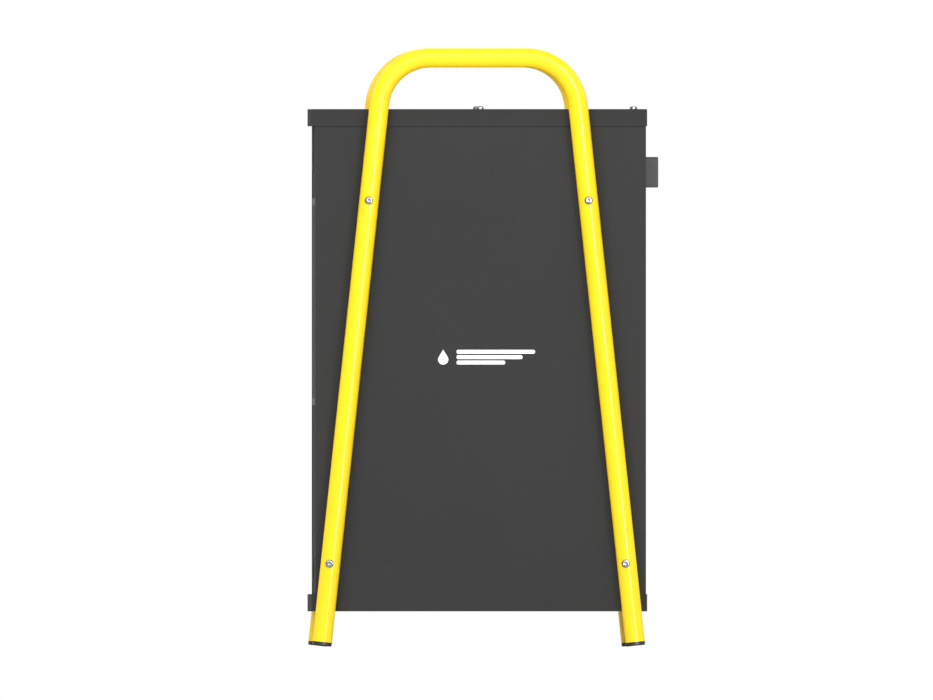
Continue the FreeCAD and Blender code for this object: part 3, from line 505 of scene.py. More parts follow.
def turned(name, angles, rings):
    """A closed shape round +Z from rings of (height, radius at an angle), lowest first."""
    work = bmesh.new()
    loops = []
    for height, reach in rings:
        radius = reach if callable(reach) else (lambda _angle, r=reach: r)
        loops.append([work.verts.new((radius(a) * math.cos(a), radius(a) * math.sin(a), height))
                      for a in angles])
    join_rings(work, loops)
    work.faces.new(loops[0][::-1])
    work.faces.new(loops[-1])
    return mesh_from(name, work)


# ---- geometry node trees
class Tree(Graph):
    """A geometry node tree with named inputs that ends in one coated mesh."""

    def __init__(self, name, **inputs):
        self.group = bpy.data.node_groups.new(name, "GeometryNodeTree")
        super().__init__(self.group)
        sockets = self.group.interface
        sockets.new_socket("Geometry", in_out="INPUT", socket_type="NodeSocketGeometry")
        self.keys = {}
        for label, kind in {**inputs, "Material": "Material"}.items():
            label = label.replace("_", " ")
            socket = sockets.new_socket(label, in_out="INPUT", socket_type="NodeSocket" + kind)
            self.keys[label] = socket.identifier
        sockets.new_socket("Geometry", in_out="OUTPUT", socket_type="NodeSocketGeometry")
        self.given = self.add("NodeGroupInput").outputs

    def __getitem__(self, label):
        return self.given[label]

    def geo(self, kind, inputs=None, **settings):
        """The first output of a new geometry node."""
        return self.add("GeometryNode" + kind, inputs, **settings).outputs[0]

    def sweep(self, line, section):
        return self.geo("CurveToMesh", {"Curve": line, "Profile Curve": section,
                                        "Fill Caps": True})

    def line(self, axis, reach):
        """A straight curve along an axis, as far to either side of the origin."""
        start = self.vector(**{axis: self.math("MULTIPLY", reach, -1.0)})
        return self.geo("CurvePrimitiveLine", {"Start": start,
                                               "End": self.vector(**{axis: reach})})

    def end(self, geometry):
        real = self.geo("RealizeInstances", {"Geometry": geometry})
        coated = self.geo("SetMaterial", {"Geometry": real, "Material": self["Material"]})
        self.add("NodeGroupOutput", {"Geometry": coated})

    def math(self, operation, a, b=0.0):
        return self.add("ShaderNodeMath", {0: a, 1: b}, operation=operation).outputs[0]

    def vector(self, x=0.0, y=0.0, z=0.0):
        return self.add("ShaderNodeCombineXYZ", {0: x, 1: y, 2: z}).outputs[0]

    def grow(self, name, finish, values, mesh=None):
        """The plain mesh that the tree makes from its inputs, as an object."""
        piece = mesh_object(name, mesh or bpy.data.meshes.new(name))
        nodes = piece.modifiers.new("Nodes", "NODES")
        nodes.node_group = self.group
        for label, value in {**values, "Material": material(finish)}.items():
            nodes[self.keys[label]] = value
        return plain(piece)


@functools.cache
def tree(make):
    """The tree that a function makes, made the first time it is asked for."""
    return make()


def bent_tube():
    """A round bar swept along a line of points, with its corners bent to one radius."""
    t = Tree("bent_tube", Diameter="Float", Bend_radius="Float", Bend_steps="Int", Sides="Int")
    line = t.geo("MeshToCurve", {"Mesh": t["Geometry"]})
    bent = t.geo("FilletCurve", {"Curve": line, "Radius": t["Bend radius"],
                                 "Count": t["Bend steps"]}, mode="POLY")
    circle = t.geo("CurvePrimitiveCircle", {"Resolution": t["Sides"],
                                            "Radius": t.math("MULTIPLY", t["Diameter"], 0.5)})
    t.end(t.sweep(bent, circle))
    return t


def set_on_points():
    """Copies of one shape on points, each standing along the point's outward direction."""
    t = Tree("set_on_points", Shape="Object")
    shape = t.add("GeometryNodeObjectInfo", {"Object": t["Shape"]}).outputs["Geometry"]
    outward = t.geo("InputNamedAttribute", {"Name": "outward"}, data_type="FLOAT_VECTOR")
    turn = t.geo("InputNamedAttribute", {"Name": "turn"}, data_type="FLOAT")
    stand = t.add("FunctionNodeAlignRotationToVector", {"Vector": outward}, axis="Z").outputs[0]
    spin = t.add("FunctionNodeEulerToRotation", {0: t.vector(z=turn)}).outputs[0]
    both = t.add("FunctionNodeRotateRotation", {0: stand, 1: spin},
                 rotation_space="LOCAL").outputs[0]
    t.end(t.geo("InstanceOnPoints", {"Points": t["Geometry"], "Instance": shape,
                                     "Rotation": both}))
    return t


def row_of_bars():
    """Equal bars with rounded edges, drawn along X, one step apart and all turned alike."""
    t = Tree("row_of_bars", Count="Int", First="Vector", Step="Vector", Length="Float",
             Width="Float", Thickness="Float", Edge_round="Float", Turn="Vector")
    section = t.geo("CurvePrimitiveQuadrilateral", {"Width": t["Width"],
                                                    "Height": t["Thickness"]})
    section = t.geo("FilletCurve", {"Curve": section, "Radius": t["Edge round"], "Count": 3,
                                    "Limit Radius": True}, mode="POLY")
    bar = t.sweep(t.line("x", t.math("MULTIPLY", t["Length"], 0.5)), section)
    places = t.geo("MeshLine", {"Count": t["Count"], "Start Location": t["First"],
                                "Offset": t["Step"]}, mode="OFFSET")
    turn = t.add("FunctionNodeEulerToRotation", {0: t["Turn"]}).outputs[0]
    t.end(t.geo("InstanceOnPoints", {"Points": places, "Instance": bar, "Rotation": turn}))
    return t


def woven_threads():
    """Two crossing sets of threads in the XZ plane, each wave over and under the other."""
    t = Tree("woven_threads", Width="Float", Height="Float", Pitch="Float", Thickness="Float",
             Middle="Vector")
    labels, spans = ("Width", "Height"), []
    for label in labels:
        cells = t.math("DIVIDE", t[label], t["Pitch"])
        even = t.math("MULTIPLY", t.math("FLOOR", t.math("MULTIPLY", cells, 0.5)), 2.0)
        spans.append(t.math("ADD", even, 1.0))
    wave = t.math("MULTIPLY", t["Thickness"], 0.5)
    circle = t.geo("CurvePrimitiveCircle", {"Resolution": 4, "Radius": wave})
    parity = t.math("SUBTRACT", 1.0, t.math("MULTIPLY", 2.0, t.math(
        "MODULO", t.geo("InputIndex"), 2.0)))
    joined = t.add("GeometryNodeJoinGeometry")
    for along, across, sign in ((0, 1, 1.0), (1, 0, -1.0)):
        reach = t.math("MULTIPLY", t[labels[along]], 0.5)
        start = t.math("MULTIPLY", t[labels[across]], -0.5)
        step = t.math("DIVIDE", t[labels[across]], t.math("SUBTRACT", spans[across], 1.0))
        way = "xz"[across]
        places = t.geo("MeshLine", {
            "Count": spans[across], "Start Location": t.vector(**{way: start}),
            "Offset": t.vector(**{way: step})}, mode="OFFSET")
        rows = t.geo("InstanceOnPoints", {"Points": places,
                                          "Instance": t.line("xz"[along], reach)})
        rows = t.geo("RealizeInstances", {"Geometry": rows})
        rows = t.geo("ResampleCurve", {"Curve": rows, "Count": spans[along]})
        lift = t.math("MULTIPLY", parity, t.math("MULTIPLY", wave, sign))
        rows = t.geo("SetPosition", {"Geometry": rows, "Offset": t.vector(y=lift)})
        t.links.new(t.sweep(rows, circle), joined.inputs[0])
    t.end(t.geo("SetPosition", {"Geometry": joined.outputs[0], "Offset": t["Middle"]}))
    return t


def scattered(name, finish, shape_mesh, places):
    """Sets one shape on every (point, outward, turn) of a list."""
    mesh = bpy.data.meshes.new(name)
    mesh.from_pydata([point for point, _outward, _turn in places], [], [])
    for label, kind in (("outward", "FLOAT_VECTOR"), ("turn", "FLOAT")):
        mesh.attributes.new(label, kind, "POINT")
    for i, (_point, way, angle) in enumerate(places):
        mesh.attributes["outward"].data[i].vector = way
        mesh.attributes["turn"].data[i].value = angle
    shape = mesh_object(name + "_shape", shape_mesh)
    piece = tree(set_on_points).grow(name, finish, {"Shape": shape}, mesh)
    bpy.data.objects.remove(shape)
    return creased(piece, 28.0)


def bars(name, finish, middle, count, step, bar, edge_round, turn=(0.0, 0.0, 0.0)):
    """A centred row of bars; bar is its length, width and thickness."""
    first = Vector(middle) - Vector(step) * ((count - 1) / 2)
    piece = tree(row_of_bars).grow(name, finish, {
        "Count": count, "First": first, "Step": step, "Length": bar[0], "Width": bar[1],
        "Thickness": bar[2], "Edge round": edge_round, "Turn": turn})
    return creased(piece, 50.0)


# ---- outlines
def rounded_rectangle(half_x, half_y, radius, steps=4):
    """Corner points of a rectangle with round corners, counter-clockwise."""
    points = []
    for quarter, (sx, sy) in enumerate(((1, 1), (-1, 1), (-1, -1), (1, -1))):
        for i in range(steps + 1):
            angle = math.radians(90 * (quarter + i / steps))
            points.append((sx * (half_x - radius) + radius * math.cos(angle),
                           sy * (half_y - radius) + radius * math.sin(angle)))
    return points


def arc(radius, start, end, steps=24):
    """Points of a circle's arc between two angles in degrees."""
    turns = [math.radians(start + (end - start) * i / steps) for i in range(steps + 1)]
    return [(radius * math.cos(a), radius * math.sin(a)) for a in turns]


def moved(outline, x, y):
    return [(u + x, v + y) for u, v in outline]


def band(outer, inner, start, end):
    """Part of a flat ring."""
    return arc(outer, start, end) + arc(inner, end, start)


def droplet(height):
    """A drop of water with its point up, its middle at the origin."""
    radius = height * 0.34
    low = -height / 2 + radius
    tip = height / 2 - low
    side = math.degrees(math.asin(radius / tip))
    return [(0.0, height / 2)] + moved(arc(radius, 180 - side, 360 + side, 32), 0.0, low)


def printed(name, outlines, centre, right, up, body, slot, finish="white_print"):
    """Flat signs, each a thin solid that stands on a surface; outlines in millimetres."""
    centre, right, up = Vector(centre), Vector(right), Vector(up)
    out = right.cross(up)
    work = bmesh.new()
    for outline in outlines:
        points = [centre + right * (u * MM) + up * (v * MM) for u, v in outline]
        base = work.faces.new([work.verts.new(p) for p in points])
        grown = bmesh.ops.extrude_face_region(work, geom=[base])["geom"]
        tops = [v for v in grown if isinstance(v, bmesh.types.BMVert)]
        bmesh.ops.translate(work, vec=out * cabinet().print_thickness, verts=tops)
        base.normal_flip()
    bmesh.ops.recalc_face_normals(work, faces=work.faces)
    bmesh.ops.triangulate(work, faces=[f for f in work.faces if len(f.verts) > 4])
    hang(coat(from_bmesh(name, work), finish), body, slot)


def rectangular_ring(name, centre, loops, corner):
    """A closed rim round an opening in the XZ plane, from (half width, half height, y) loops."""
    work = bmesh.new()
    rows = []
    for half_x, half_z, y in loops:
        outline = rounded_rectangle(half_x, half_z, corner)
        rows.append([work.verts.new((centre.x + u, y, centre.z + v)) for u, v in outline])
    join_rings(work, rows + rows[:1])
    bmesh.ops.recalc_face_normals(work, faces=work.faces)
    return from_bmesh(name, work)


# ---- tube frames
FRAME_TUBES = ("left_frame_tube", "right_frame_tube")


def leg_offset(height):
    """Distance of a leg's axis from the middle of its frame at a height."""
    return sizes().foot_spread / 2 - height * math.tan(sizes().leg_lean)


def frame_route(node):
    """Middle line of a tube frame: foot, corner, corner, foot."""
    low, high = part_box(node)
    middle = (low + high) / 2
    radius = sizes().tube_diameter / 2
    foot_z = low.z + radius * math.sin(sizes().leg_lean)
    bar_z = high.z - radius
    return [(middle.x, middle.y + side * leg_offset(z), z)
            for side, z in ((-1, foot_z), (-1, bar_z), (1, bar_z), (1, foot_z))]


def bend_frame(node):
    """Sweeps one frame's tube along its middle line."""
    route = frame_route(node)
    line = bpy.data.meshes.new(node + "_surface")
    line.from_pydata(route, [(i, i + 1) for i in range(len(route) - 1)], [])
    piece = tree(bent_tube).grow(node + "_surface", "frame_paint", {
        "Diameter": sizes().tube_diameter, "Bend radius": sizes().bend_radius,
        "Bend steps": sizes().bend_steps, "Sides": sizes().tube_sides}, line)
    hang(creased(piece), "cabinet", "frame_paint", node)


# ---- screws
ROUND_ANGLES = [math.tau * i / 64 for i in range(64)]
HEX_ANGLES = [math.radians(15 * i) for i in range(24)]
CROSS_ARM = math.radians(14)
CROSS_ANGLES = [math.radians(90 * quarter) + turn for quarter in range(4)
                for turn in (-CROSS_ARM, 0.0, CROSS_ARM, math.radians(30), math.radians(45),
                             math.radians(60))]


def hexagon(across):
    """Distance to the side of a hexagon at an angle."""
    return lambda angle: across / 2 / math.cos(angle % math.radians(60) - math.radians(30))


def cross(reach):
    """Distance to the side of a cross at an angle."""
    half = reach * math.tan(CROSS_ARM)

    def distance(angle):
        turn = abs((angle + math.pi / 4) % (math.pi / 2) - math.pi / 4)
        return reach / math.cos(turn) if turn < CROSS_ARM + 1e-6 else half / math.sin(turn)
    return distance


def shoulder(radius, height, rounding):
    """Rings of a head's side and its round shoulder."""
    turns = [math.pi / 2 * i / 6 for i in range(7)]
    return [(height - rounding + rounding * math.sin(t), radius - rounding + rounding * math.cos(t))
            for t in turns]


def button_head():
    """Domed bolt head with a hexagon socket, sunk a little into the tube's crown."""
    radius, height = sizes().bolt_head / 2, sizes().bolt_height
    socket = sizes().bolt_socket
    rings = [(-0.9 * MM, radius)] + shoulder(radius, height, 2.3 * MM)
    rings += [(height, socket * 0.62), (height - 0.3 * MM, hexagon(socket)),
              (1.2 * MM, hexagon(socket)), (0.9 * MM, 0.6 * MM)]
    return turned("button_head", HEX_ANGLES, rings)


def pan_head():
    """Lid screw head with a cross recess."""
    radius, height = cabinet().pan_head / 2, cabinet().pan_height
    rings = [(-0.2 * MM, radius)] + shoulder(radius, height, 1.9 * MM)
    rings += [(height, cross(2.35 * MM)), (height - 1.9 * MM, cross(1.6 * MM)),
              (height - 2.2 * MM, 0.3 * MM)]
    return turned("pan_head", CROSS_ANGLES, rings)


def flush_head():
    """Countersunk panel screw head with a cross recess."""
    radius = cabinet().flat_head / 2
    rings = [(-2.0 * MM, radius - 1.8 * MM), (-0.15 * MM, radius), (-0.02 * MM, radius - 0.15 * MM),
             (0.0, cross(1.9 * MM)), (-1.1 * MM, cross(1.3 * MM)), (-1.3 * MM, 0.2 * MM)]
    return turned("flush_head", CROSS_ANGLES, rings)


def bolt_places():
    low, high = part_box("frame_bolts")
    middle_y = middle_of("left_frame_tube").y
    head = sizes().bolt_head / 2
    seat = high.x - sizes().bolt_height
    middle_z = (low.z + high.z) / 2
    places = []
    for side in (-1, 1):
        for z in (low.z + head, high.z - head):
            for end in (-1, 1):
                off = sizes().lower_bolt_back if z < middle_z else end * sizes().upper_bolt_out
                point = (side * seat, middle_y + end * leg_offset(z) + off, z)
                places.append((point, (side, 0, 0), 0.7 * len(places)))
    return places


def lid_screw_places():
    low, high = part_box("lid_screws")
    head = cabinet().pan_head / 2
    top = high.z - cabinet().pan_height
    points = [(low.x + head, high.y - head, top), (high.x - head, high.y - head, top),
              ((low.x + high.x) / 2, low.y + head, top)]
    return [(point, (0, 0, 1), 0.5 + 0.9 * i) for i, point in enumerate(points)]


def panel_screw_places():
    low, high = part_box("panel_screws")
    head = cabinet().flat_head / 2
    levels = (low.z + head, cabinet().middle_screw, high.z - head)
    places = []
    for y, way in ((low.y, -1), (high.y, 1)):
        for x in (low.x + head, high.x - head):
            places += [((x, y, z), (0, way, 0), 0.6 * (len(places) + i))
                       for i, z in enumerate(levels)]
    return places


# ---- air path
def grille_rim(name, node, out, depth, wall):
    """A moulded rim round an air opening, flat on the panel and lining its edge."""
    low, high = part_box(node)
    flange = moulding().grille_flange
    half_x, half_z = (high.x - low.x) / 2, (high.z - low.z) / 2
    front = low.y if out < 0 else high.y
    panel_y = front - out * SHEET
    back = panel_y - out * depth
    loops = [(half_x, half_z, panel_y), (half_x, half_z, front),
             (half_x - flange - wall, half_z - flange - wall, front),
             (half_x - flange - wall, half_z - flange - wall, back),
             (half_x - flange, half_z - flange, back),
             (half_x - flange, half_z - flange, panel_y)]
    rim = rounded(rectangular_ring(name, (low + high) / 2, loops, 1.5 * MM),
                  moulding().small_round)
    hang(coat(rim, "black_plastic"), "cabinet", "black_plastic", node)


def grille_bars(name, *row):
    """A row of bars of a grille; the row is as in bars, without its finish."""
    hang(bars(name, "black_plastic", *row), "cabinet", "black_plastic")


def fan_blade():
    """One blade round +Z: curved sections from the hub to the tip, with a round edge."""
    low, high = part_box("fan_rotor")
    root, tip = 30 * MM, (high.x - low.x) / 2 - 0.5 * MM
    root_chord, more_chord = 46 * MM, 34 * MM
    root_pitch, less_pitch, tip_sweep, hollow = 38, 18, 0.16, 0.055
    spans, chords = 10, 14
    work = bmesh.new()
    sections = []
    for i in range(spans + 1):
        share = i / spans
        radius = root + (tip - root) * share
        chord = root_chord + more_chord * share
        pitch = math.radians(root_pitch - less_pitch * share)
        rows = ([], [])
        for j in range(chords + 1):
            u = j / chords - 0.5
            bulge = 1 - 4 * u * u
            half = (0.35 + 0.9 * math.sqrt(max(0.0, bulge))) * MM
            for row, side in zip(rows, (1, -1)):
                along, rise = u * chord, hollow * chord * bulge + side * half
                turn = (along * math.cos(pitch) - rise * math.sin(pitch)) / radius
                turn += tip_sweep * share * share
                height = along * math.sin(pitch) + rise * math.cos(pitch)
                row.append(work.verts.new((radius * math.cos(turn), radius * math.sin(turn),
                                           height)))
        sections.append(rows[0] + rows[1][::-1])
    join_rings(work, sections)
    for ring in (sections[0], sections[-1]):
        for j in range(chords):
            work.faces.new((ring[j], ring[j + 1], ring[-j - 2], ring[-j - 1]))
    bmesh.ops.recalc_face_normals(work, faces=work.faces)
    return mesh_from("fan_blade", work)


def fan_hub():
    """Hub with a round shoulder and a hollow nose, and the shaft behind it, round +Z."""
    low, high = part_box("fan_rotor")
    radius, depth = moulding().hub_diameter / 2, moulding().hub_depth
    shaft = moulding().shaft_diameter / 2
    rings = [(-(high.y - low.y), shaft), (-depth, shaft), (-depth, radius - 1.0 * MM),
             (-depth + 1.0 * MM, radius)]
    rings += shoulder(radius, 0.0, 4.0 * MM)
    rings += [(0.0, 0.016), (-2.5 * MM, 0.014), (-2.5 * MM, 0.006), (-0.8 * MM, 0.005),
              (-0.6 * MM, 0.002)]
    return turned("fan_hub", ROUND_ANGLES, rings)


def fan_places(count, back):
    low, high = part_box("fan_rotor")
    point = ((low.x + high.x) / 2, high.y - back, (low.z + high.z) / 2)
    return [(point, (0, 1, 0), math.tau * i / count) for i in range(count)]


# ---- console
SEGMENTS = {"0": "abcdef", "5": "acdfg"}


def digit(character, height):
    """Seven-segment outlines of a digit, its middle at the origin."""
    half_x, half_z, thick = height * 0.26, height / 2, height * 0.055
    across = rounded_rectangle(half_x - thick * 1.3, thick, thick * 0.8, 2)
    upright = rounded_rectangle(thick, half_z / 2 - thick * 1.3, thick * 0.8, 2)
    places = {"a": (across, 0, half_z), "g": (across, 0, 0), "d": (across, 0, -half_z),
              "b": (upright, half_x, half_z / 2), "c": (upright, half_x, -half_z / 2),
              "e": (upright, -half_x, -half_z / 2), "f": (upright, -half_x, half_z / 2)}
    return [moved(*places[key]) for key in SEGMENTS[character]]


def signs(height):
    """Outlines of the sign over each button."""
    half = height / 2
    bar = rounded_rectangle(half * 0.14, half * 0.5, half * 0.1, 2)
    arrow = [(-half, -half * 0.6), (half, -half * 0.6), (0.0, half * 0.9)]
    steps = [moved(rounded_rectangle(half * 0.2, half * h, half * 0.1, 2), half * x, half * (h - 1))
             for x, h in ((-0.75, 0.35), (0.0, 0.65), (0.75, 1.0))]
    return {"power_button": [band(half, half * 0.72, 125, 415), moved(bar, 0, half * 0.6)],
            "mode_button": [droplet(height)],
            "speed_button": steps,
            "down_button": [[(u, -v) for u, v in reversed(arrow)]],
            "up_button": [arrow]}


# ---- operators
class DEHUMIDIFIER_OT_coat_solids(bpy.types.Operator):
    """Give every solid of the model the finish of its slot"""
    bl_idname = "dehumidifier.coat_solids"
    bl_label = "Coat solids"

    def execute(self, context):
        for node, solid in frame["nodes"].items():
            for entry in solid.material_slots:
                entry.material = material(SLOT_OF[node])
        return {"FINISHED"}


class DEHUMIDIFIER_OT_tube_frames(bpy.types.Operator):
    """Sweep the two bent tube frames"""
    bl_idname = "dehumidifier.tube_frames"
    bl_label = "Tube frames"

    def execute(self, context):
        for node in FRAME_TUBES:
            bend_frame(node)
        return {"FINISHED"}


class DEHUMIDIFIER_OT_screws(bpy.types.Operator):
    """Set the frame bolts, the lid screws and the panel screws"""
    bl_idname = "dehumidifier.screws"
    bl_label = "Bolts and screws"

    def execute(self, context):
        for node, head, places in (("frame_bolts", button_head(), bolt_places()),
                                   ("lid_screws", pan_head(), lid_screw_places()),
                                   ("panel_screws", flush_head(), panel_screw_places())):
            piece = scattered(node + "_surface", "zinc_steel", head, places)
            hang(piece, "cabinet", SLOT_OF[node], node)
        return {"FINISHED"}


class DEHUMIDIFIER_OT_cabinet(bpy.types.Operator):
    """Round the edges of the lid, the base pan and the panels"""
    bl_idname = "dehumidifier.cabinet"
    bl_label = "Cabinet"

    def execute(self, context):
        for node in ("lid", "base_pan", "left_side_panel", "right_side_panel", "front_panel",
                     "rear_panel"):
            softened(node, cabinet().sheet_round)
        return {"FINISHED"}


class DEHUMIDIFIER_OT_side_marks(bpy.types.Operator):
    """Print a droplet and three stripes on both side panels"""
    bl_idname = "dehumidifier.side_marks"
    bl_label = "Side marks"

    def execute(self, context):
        tall = cabinet().mark_size / MM
        stripe_start, droplet_middle, forward = -38, -55, 10 * MM
        stripes = [moved(rounded_rectangle(width / 2, tall * 0.13, tall * 0.11),
                         width / 2 + stripe_start, v)
                   for width, v in ((100, tall * 0.36), (84, 0), (62, -tall * 0.36))]
        outlines = [moved(droplet(tall), droplet_middle, 0)] + stripes
        y = middle_of("left_frame_tube").y - forward
        for node, side, face in (("left_side_panel", -1, 0), ("right_side_panel", 1, 1)):
            printed(node + "_mark", outlines, (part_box(node)[face].x, y, cabinet().mark_height),
                    (0, side, 0), UP, "cabinet", "cabinet_paint")
        return {"FINISHED"}


class DEHUMIDIFIER_OT_air_outlet(bpy.types.Operator):
    """Build the louvred air outlet in the front panel"""
    bl_idname = "dehumidifier.air_outlet"
    bl_label = "Air outlet"

    def execute(self, context):
        low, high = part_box("outlet_grille")
        middle = (low + high) / 2
        wall, rim_depth, stay, into_wall = 2 * MM, 14 * MM, 3 * MM, 1 * MM
        behind = Vector((0, 2.5 * MM, 0))
        inner_z = (high.z - low.z) / 2 - moulding().grille_flange - wall
        inner_x = (high.x - low.x) / 2 - moulding().grille_flange - into_wall
        grille_rim("outlet_rim", "outlet_grille", -1, rim_depth, wall)
        count = moulding().slat_count
        grille_bars("outlet_slats", middle, count, (0, 0, 2 * inner_z / (count + 1)),
                    (2 * inner_x, moulding().slat_width, 2 * MM), 0.7 * MM,
                    (moulding().slat_tip, 0, 0))
        grille_bars("outlet_stays", middle + behind, 2, ((high.x - low.x) / 3, 0, 0),
                    (2 * inner_z + 2 * into_wall, stay, stay), 0.4 * MM, ON_END)
        return {"FINISHED"}


class DEHUMIDIFIER_OT_air_intake(bpy.types.Operator):
    """Build the barred air intake in the rear panel"""
    bl_idname = "dehumidifier.air_intake"
    bl_label = "Air intake"

    def execute(self, context):
        low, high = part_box("intake_grille")
        middle = (low + high) / 2
        wall, rim_depth, into_wall, below_rim = 2 * MM, 2 * MM, 1 * MM, 0.3 * MM
        inner_x = (high.x - low.x) / 2 - moulding().grille_flange - wall - into_wall
        reach = high.z - low.z - 2 * (moulding().grille_flange + wall)
        grille_rim("intake_rim", "intake_grille", 1, rim_depth, wall)
        count = moulding().bar_count
        grille_bars("intake_bars", middle - Vector((0, below_rim / 2, 0)), count,
                    (2 * inner_x / (count + 1), 0, 0),
                    (reach, high.y - low.y - below_rim, moulding().bar_thickness), 0.6 * MM, ON_END)
        grille_bars("intake_stays", middle - Vector((0, 0.4 * MM, 0)), 3, (0, 0, reach / 4),
                    (2 * inner_x + 2 * into_wall, 2.2 * MM, 4 * MM), 0.5 * MM)
        return {"FINISHED"}


class DEHUMIDIFIER_OT_filter(bpy.types.Operator):
    """Round the filter's frame and weave its threads"""
    bl_idname = "dehumidifier.filter"
    bl_label = "Filter"

    def execute(self, context):
        softened("filter_frame", moulding().edge_round)
        low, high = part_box("filter_mesh")
        threads = tree(woven_threads).grow("filter_threads", "mesh", {
            "Width": high.x - low.x, "Height": high.z - low.z, "Pitch": moulding().wire_pitch,
            "Thickness": moulding().wire_thickness, "Middle": (low + high) / 2})
        hang(creased(threads, 80.0), "filter", "mesh", "filter_mesh")
        return {"FINISHED"}


class DEHUMIDIFIER_OT_coil_fins(bpy.types.Operator):
    """Stack the thin fins of both coils"""
    bl_idname = "dehumidifier.coil_fins"
    bl_label = "Coil fins"

    def execute(self, context):
        for node in ("condenser_fins", "evaporator_fins"):
            low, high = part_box(node)
            count = int((high.x - low.x) / moulding().fin_pitch)
            fins = bars(node + "_surface", "fin_aluminium", (low + high) / 2, count,
                        (moulding().fin_pitch, 0, 0),
                        (high.z - low.z, high.y - low.y, moulding().fin_thickness), 0.1 * MM,
                        ON_END)
            hang(fins, "cabinet", "fin_aluminium", node)
        return {"FINISHED"}


class DEHUMIDIFIER_OT_fan(bpy.types.Operator):
    """Set the curved blades round the fan's hub"""
    bl_idname = "dehumidifier.fan"
    bl_label = "Fan"

    def execute(self, context):
        blades = scattered("fan_blades", "black_plastic", fan_blade(),
                           fan_places(moulding().blade_count, moulding().hub_depth / 2))
        hang(blades, "fan", "black_plastic", "fan_rotor")
        hang(scattered("fan_hub_surface", "black_plastic", fan_hub(), fan_places(1, 0.0)),
             "fan", "black_plastic")
        return {"FINISHED"}


class DEHUMIDIFIER_OT_console(bpy.types.Operator):
    """Round the console, its window and its buttons, and print their signs"""
    bl_idname = "dehumidifier.console"
    bl_label = "Console"

    def execute(self, context):
        for node in ("console_housing", "display_window") + BUTTONS:
            softened(node, moulding().small_round)
        face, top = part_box("console_housing")
        below_top = 7.0 * MM
        for node, outlines in signs(moulding().sign_height / MM).items():
            printed(node + "_sign", outlines, (middle_of(node).x, face.y, top.z - below_top),
                    RIGHT, UP, "cabinet", "console_plastic")
        height = moulding().digit_height / MM
        apart = height * 0.42
        outlines = [moved(line, shift, 0) for shift, character in ((-apart, "5"), (apart, "0"))
                    for line in digit(character, height)]
        place = middle_of("display_window")
        place.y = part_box("display_window")[0].y
        printed("display_digits", outlines, place, RIGHT, UP, "cabinet", "window",
                "display_light")
        return {"FINISHED"}


class DEHUMIDIFIER_OT_water(bpy.types.Operator):
    """Round the water tank, its lid, its float and the drain port"""
    bl_idname = "dehumidifier.water"
    bl_label = "Water tank and drain"

    def execute(self, context):
        for node in ("water_tank", "tank_lid", "float_arm", "drain_port"):
            softened(node, moulding().edge_round)
        return {"FINISHED"}


class DEHUMIDIFIER_OT_mains(bpy.types.Operator):
    """Round the mains inlet and its rocker, and print the rocker's two signs"""
    bl_idname = "dehumidifier.mains"
    bl_label = "Mains inlet"

    def execute(self, context):
        for node in ("mains_inlet", "power_rocker"):
            softened(node, moulding().small_round)
        middle, face_y = middle_of("power_rocker"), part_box("power_rocker")[1].y
        tilt, reach = math.radians(16), 5.2 * MM
        sloped = Vector((0, math.sin(tilt), math.cos(tilt)))
        crest = Vector((middle.x, face_y, middle.z))
        sign_radius, ring_hole = 2.1, 1.35
        printed("rocker_on_sign", [rounded_rectangle(0.45, sign_radius, 0.2, 2)],
                crest + Vector(UP) * reach, LEFT, UP, "rocker", "black_plastic")
        printed("rocker_off_sign", [band(sign_radius, ring_hole, start, start + 180)
                                    for start in (0, 180)],
                crest - sloped * reach, LEFT, sloped, "rocker", "black_plastic")
        return {"FINISHED"}


class DEHUMIDIFIER_OT_feet(bpy.types.Operator):
    """Round the foot plugs and the spacers behind the tubes"""
    bl_idname = "dehumidifier.feet"
    bl_label = "Feet and spacers"

    def execute(self, context):
        for node in ("foot_plugs", "tube_spacers"):
            softened(node, moulding().small_round)
        return {"FINISHED"}


# Name, place, size and power of each lamp; the strip shows in reflections only.
LAMPS = (("key_light", (-2.7, 0.2, 1.9), (3.0, 3.0), 95.0),
         ("front_light", (0.6, -3.2, 2.2), (2.4, 2.4), 42.0),
         ("rear_light", (1.4, 3.0, 2.4), (2.4, 2.4), 32.0),
         ("far_light", (2.8, -0.4, 1.9), (2.4, 2.4), 40.0),
         ("strip_light", (-2.8, -1.15, 0.9), (0.16, 2.4), 130.0, False))
LAMP_AIM = 0.35
CAMERA_BACK = 5.0


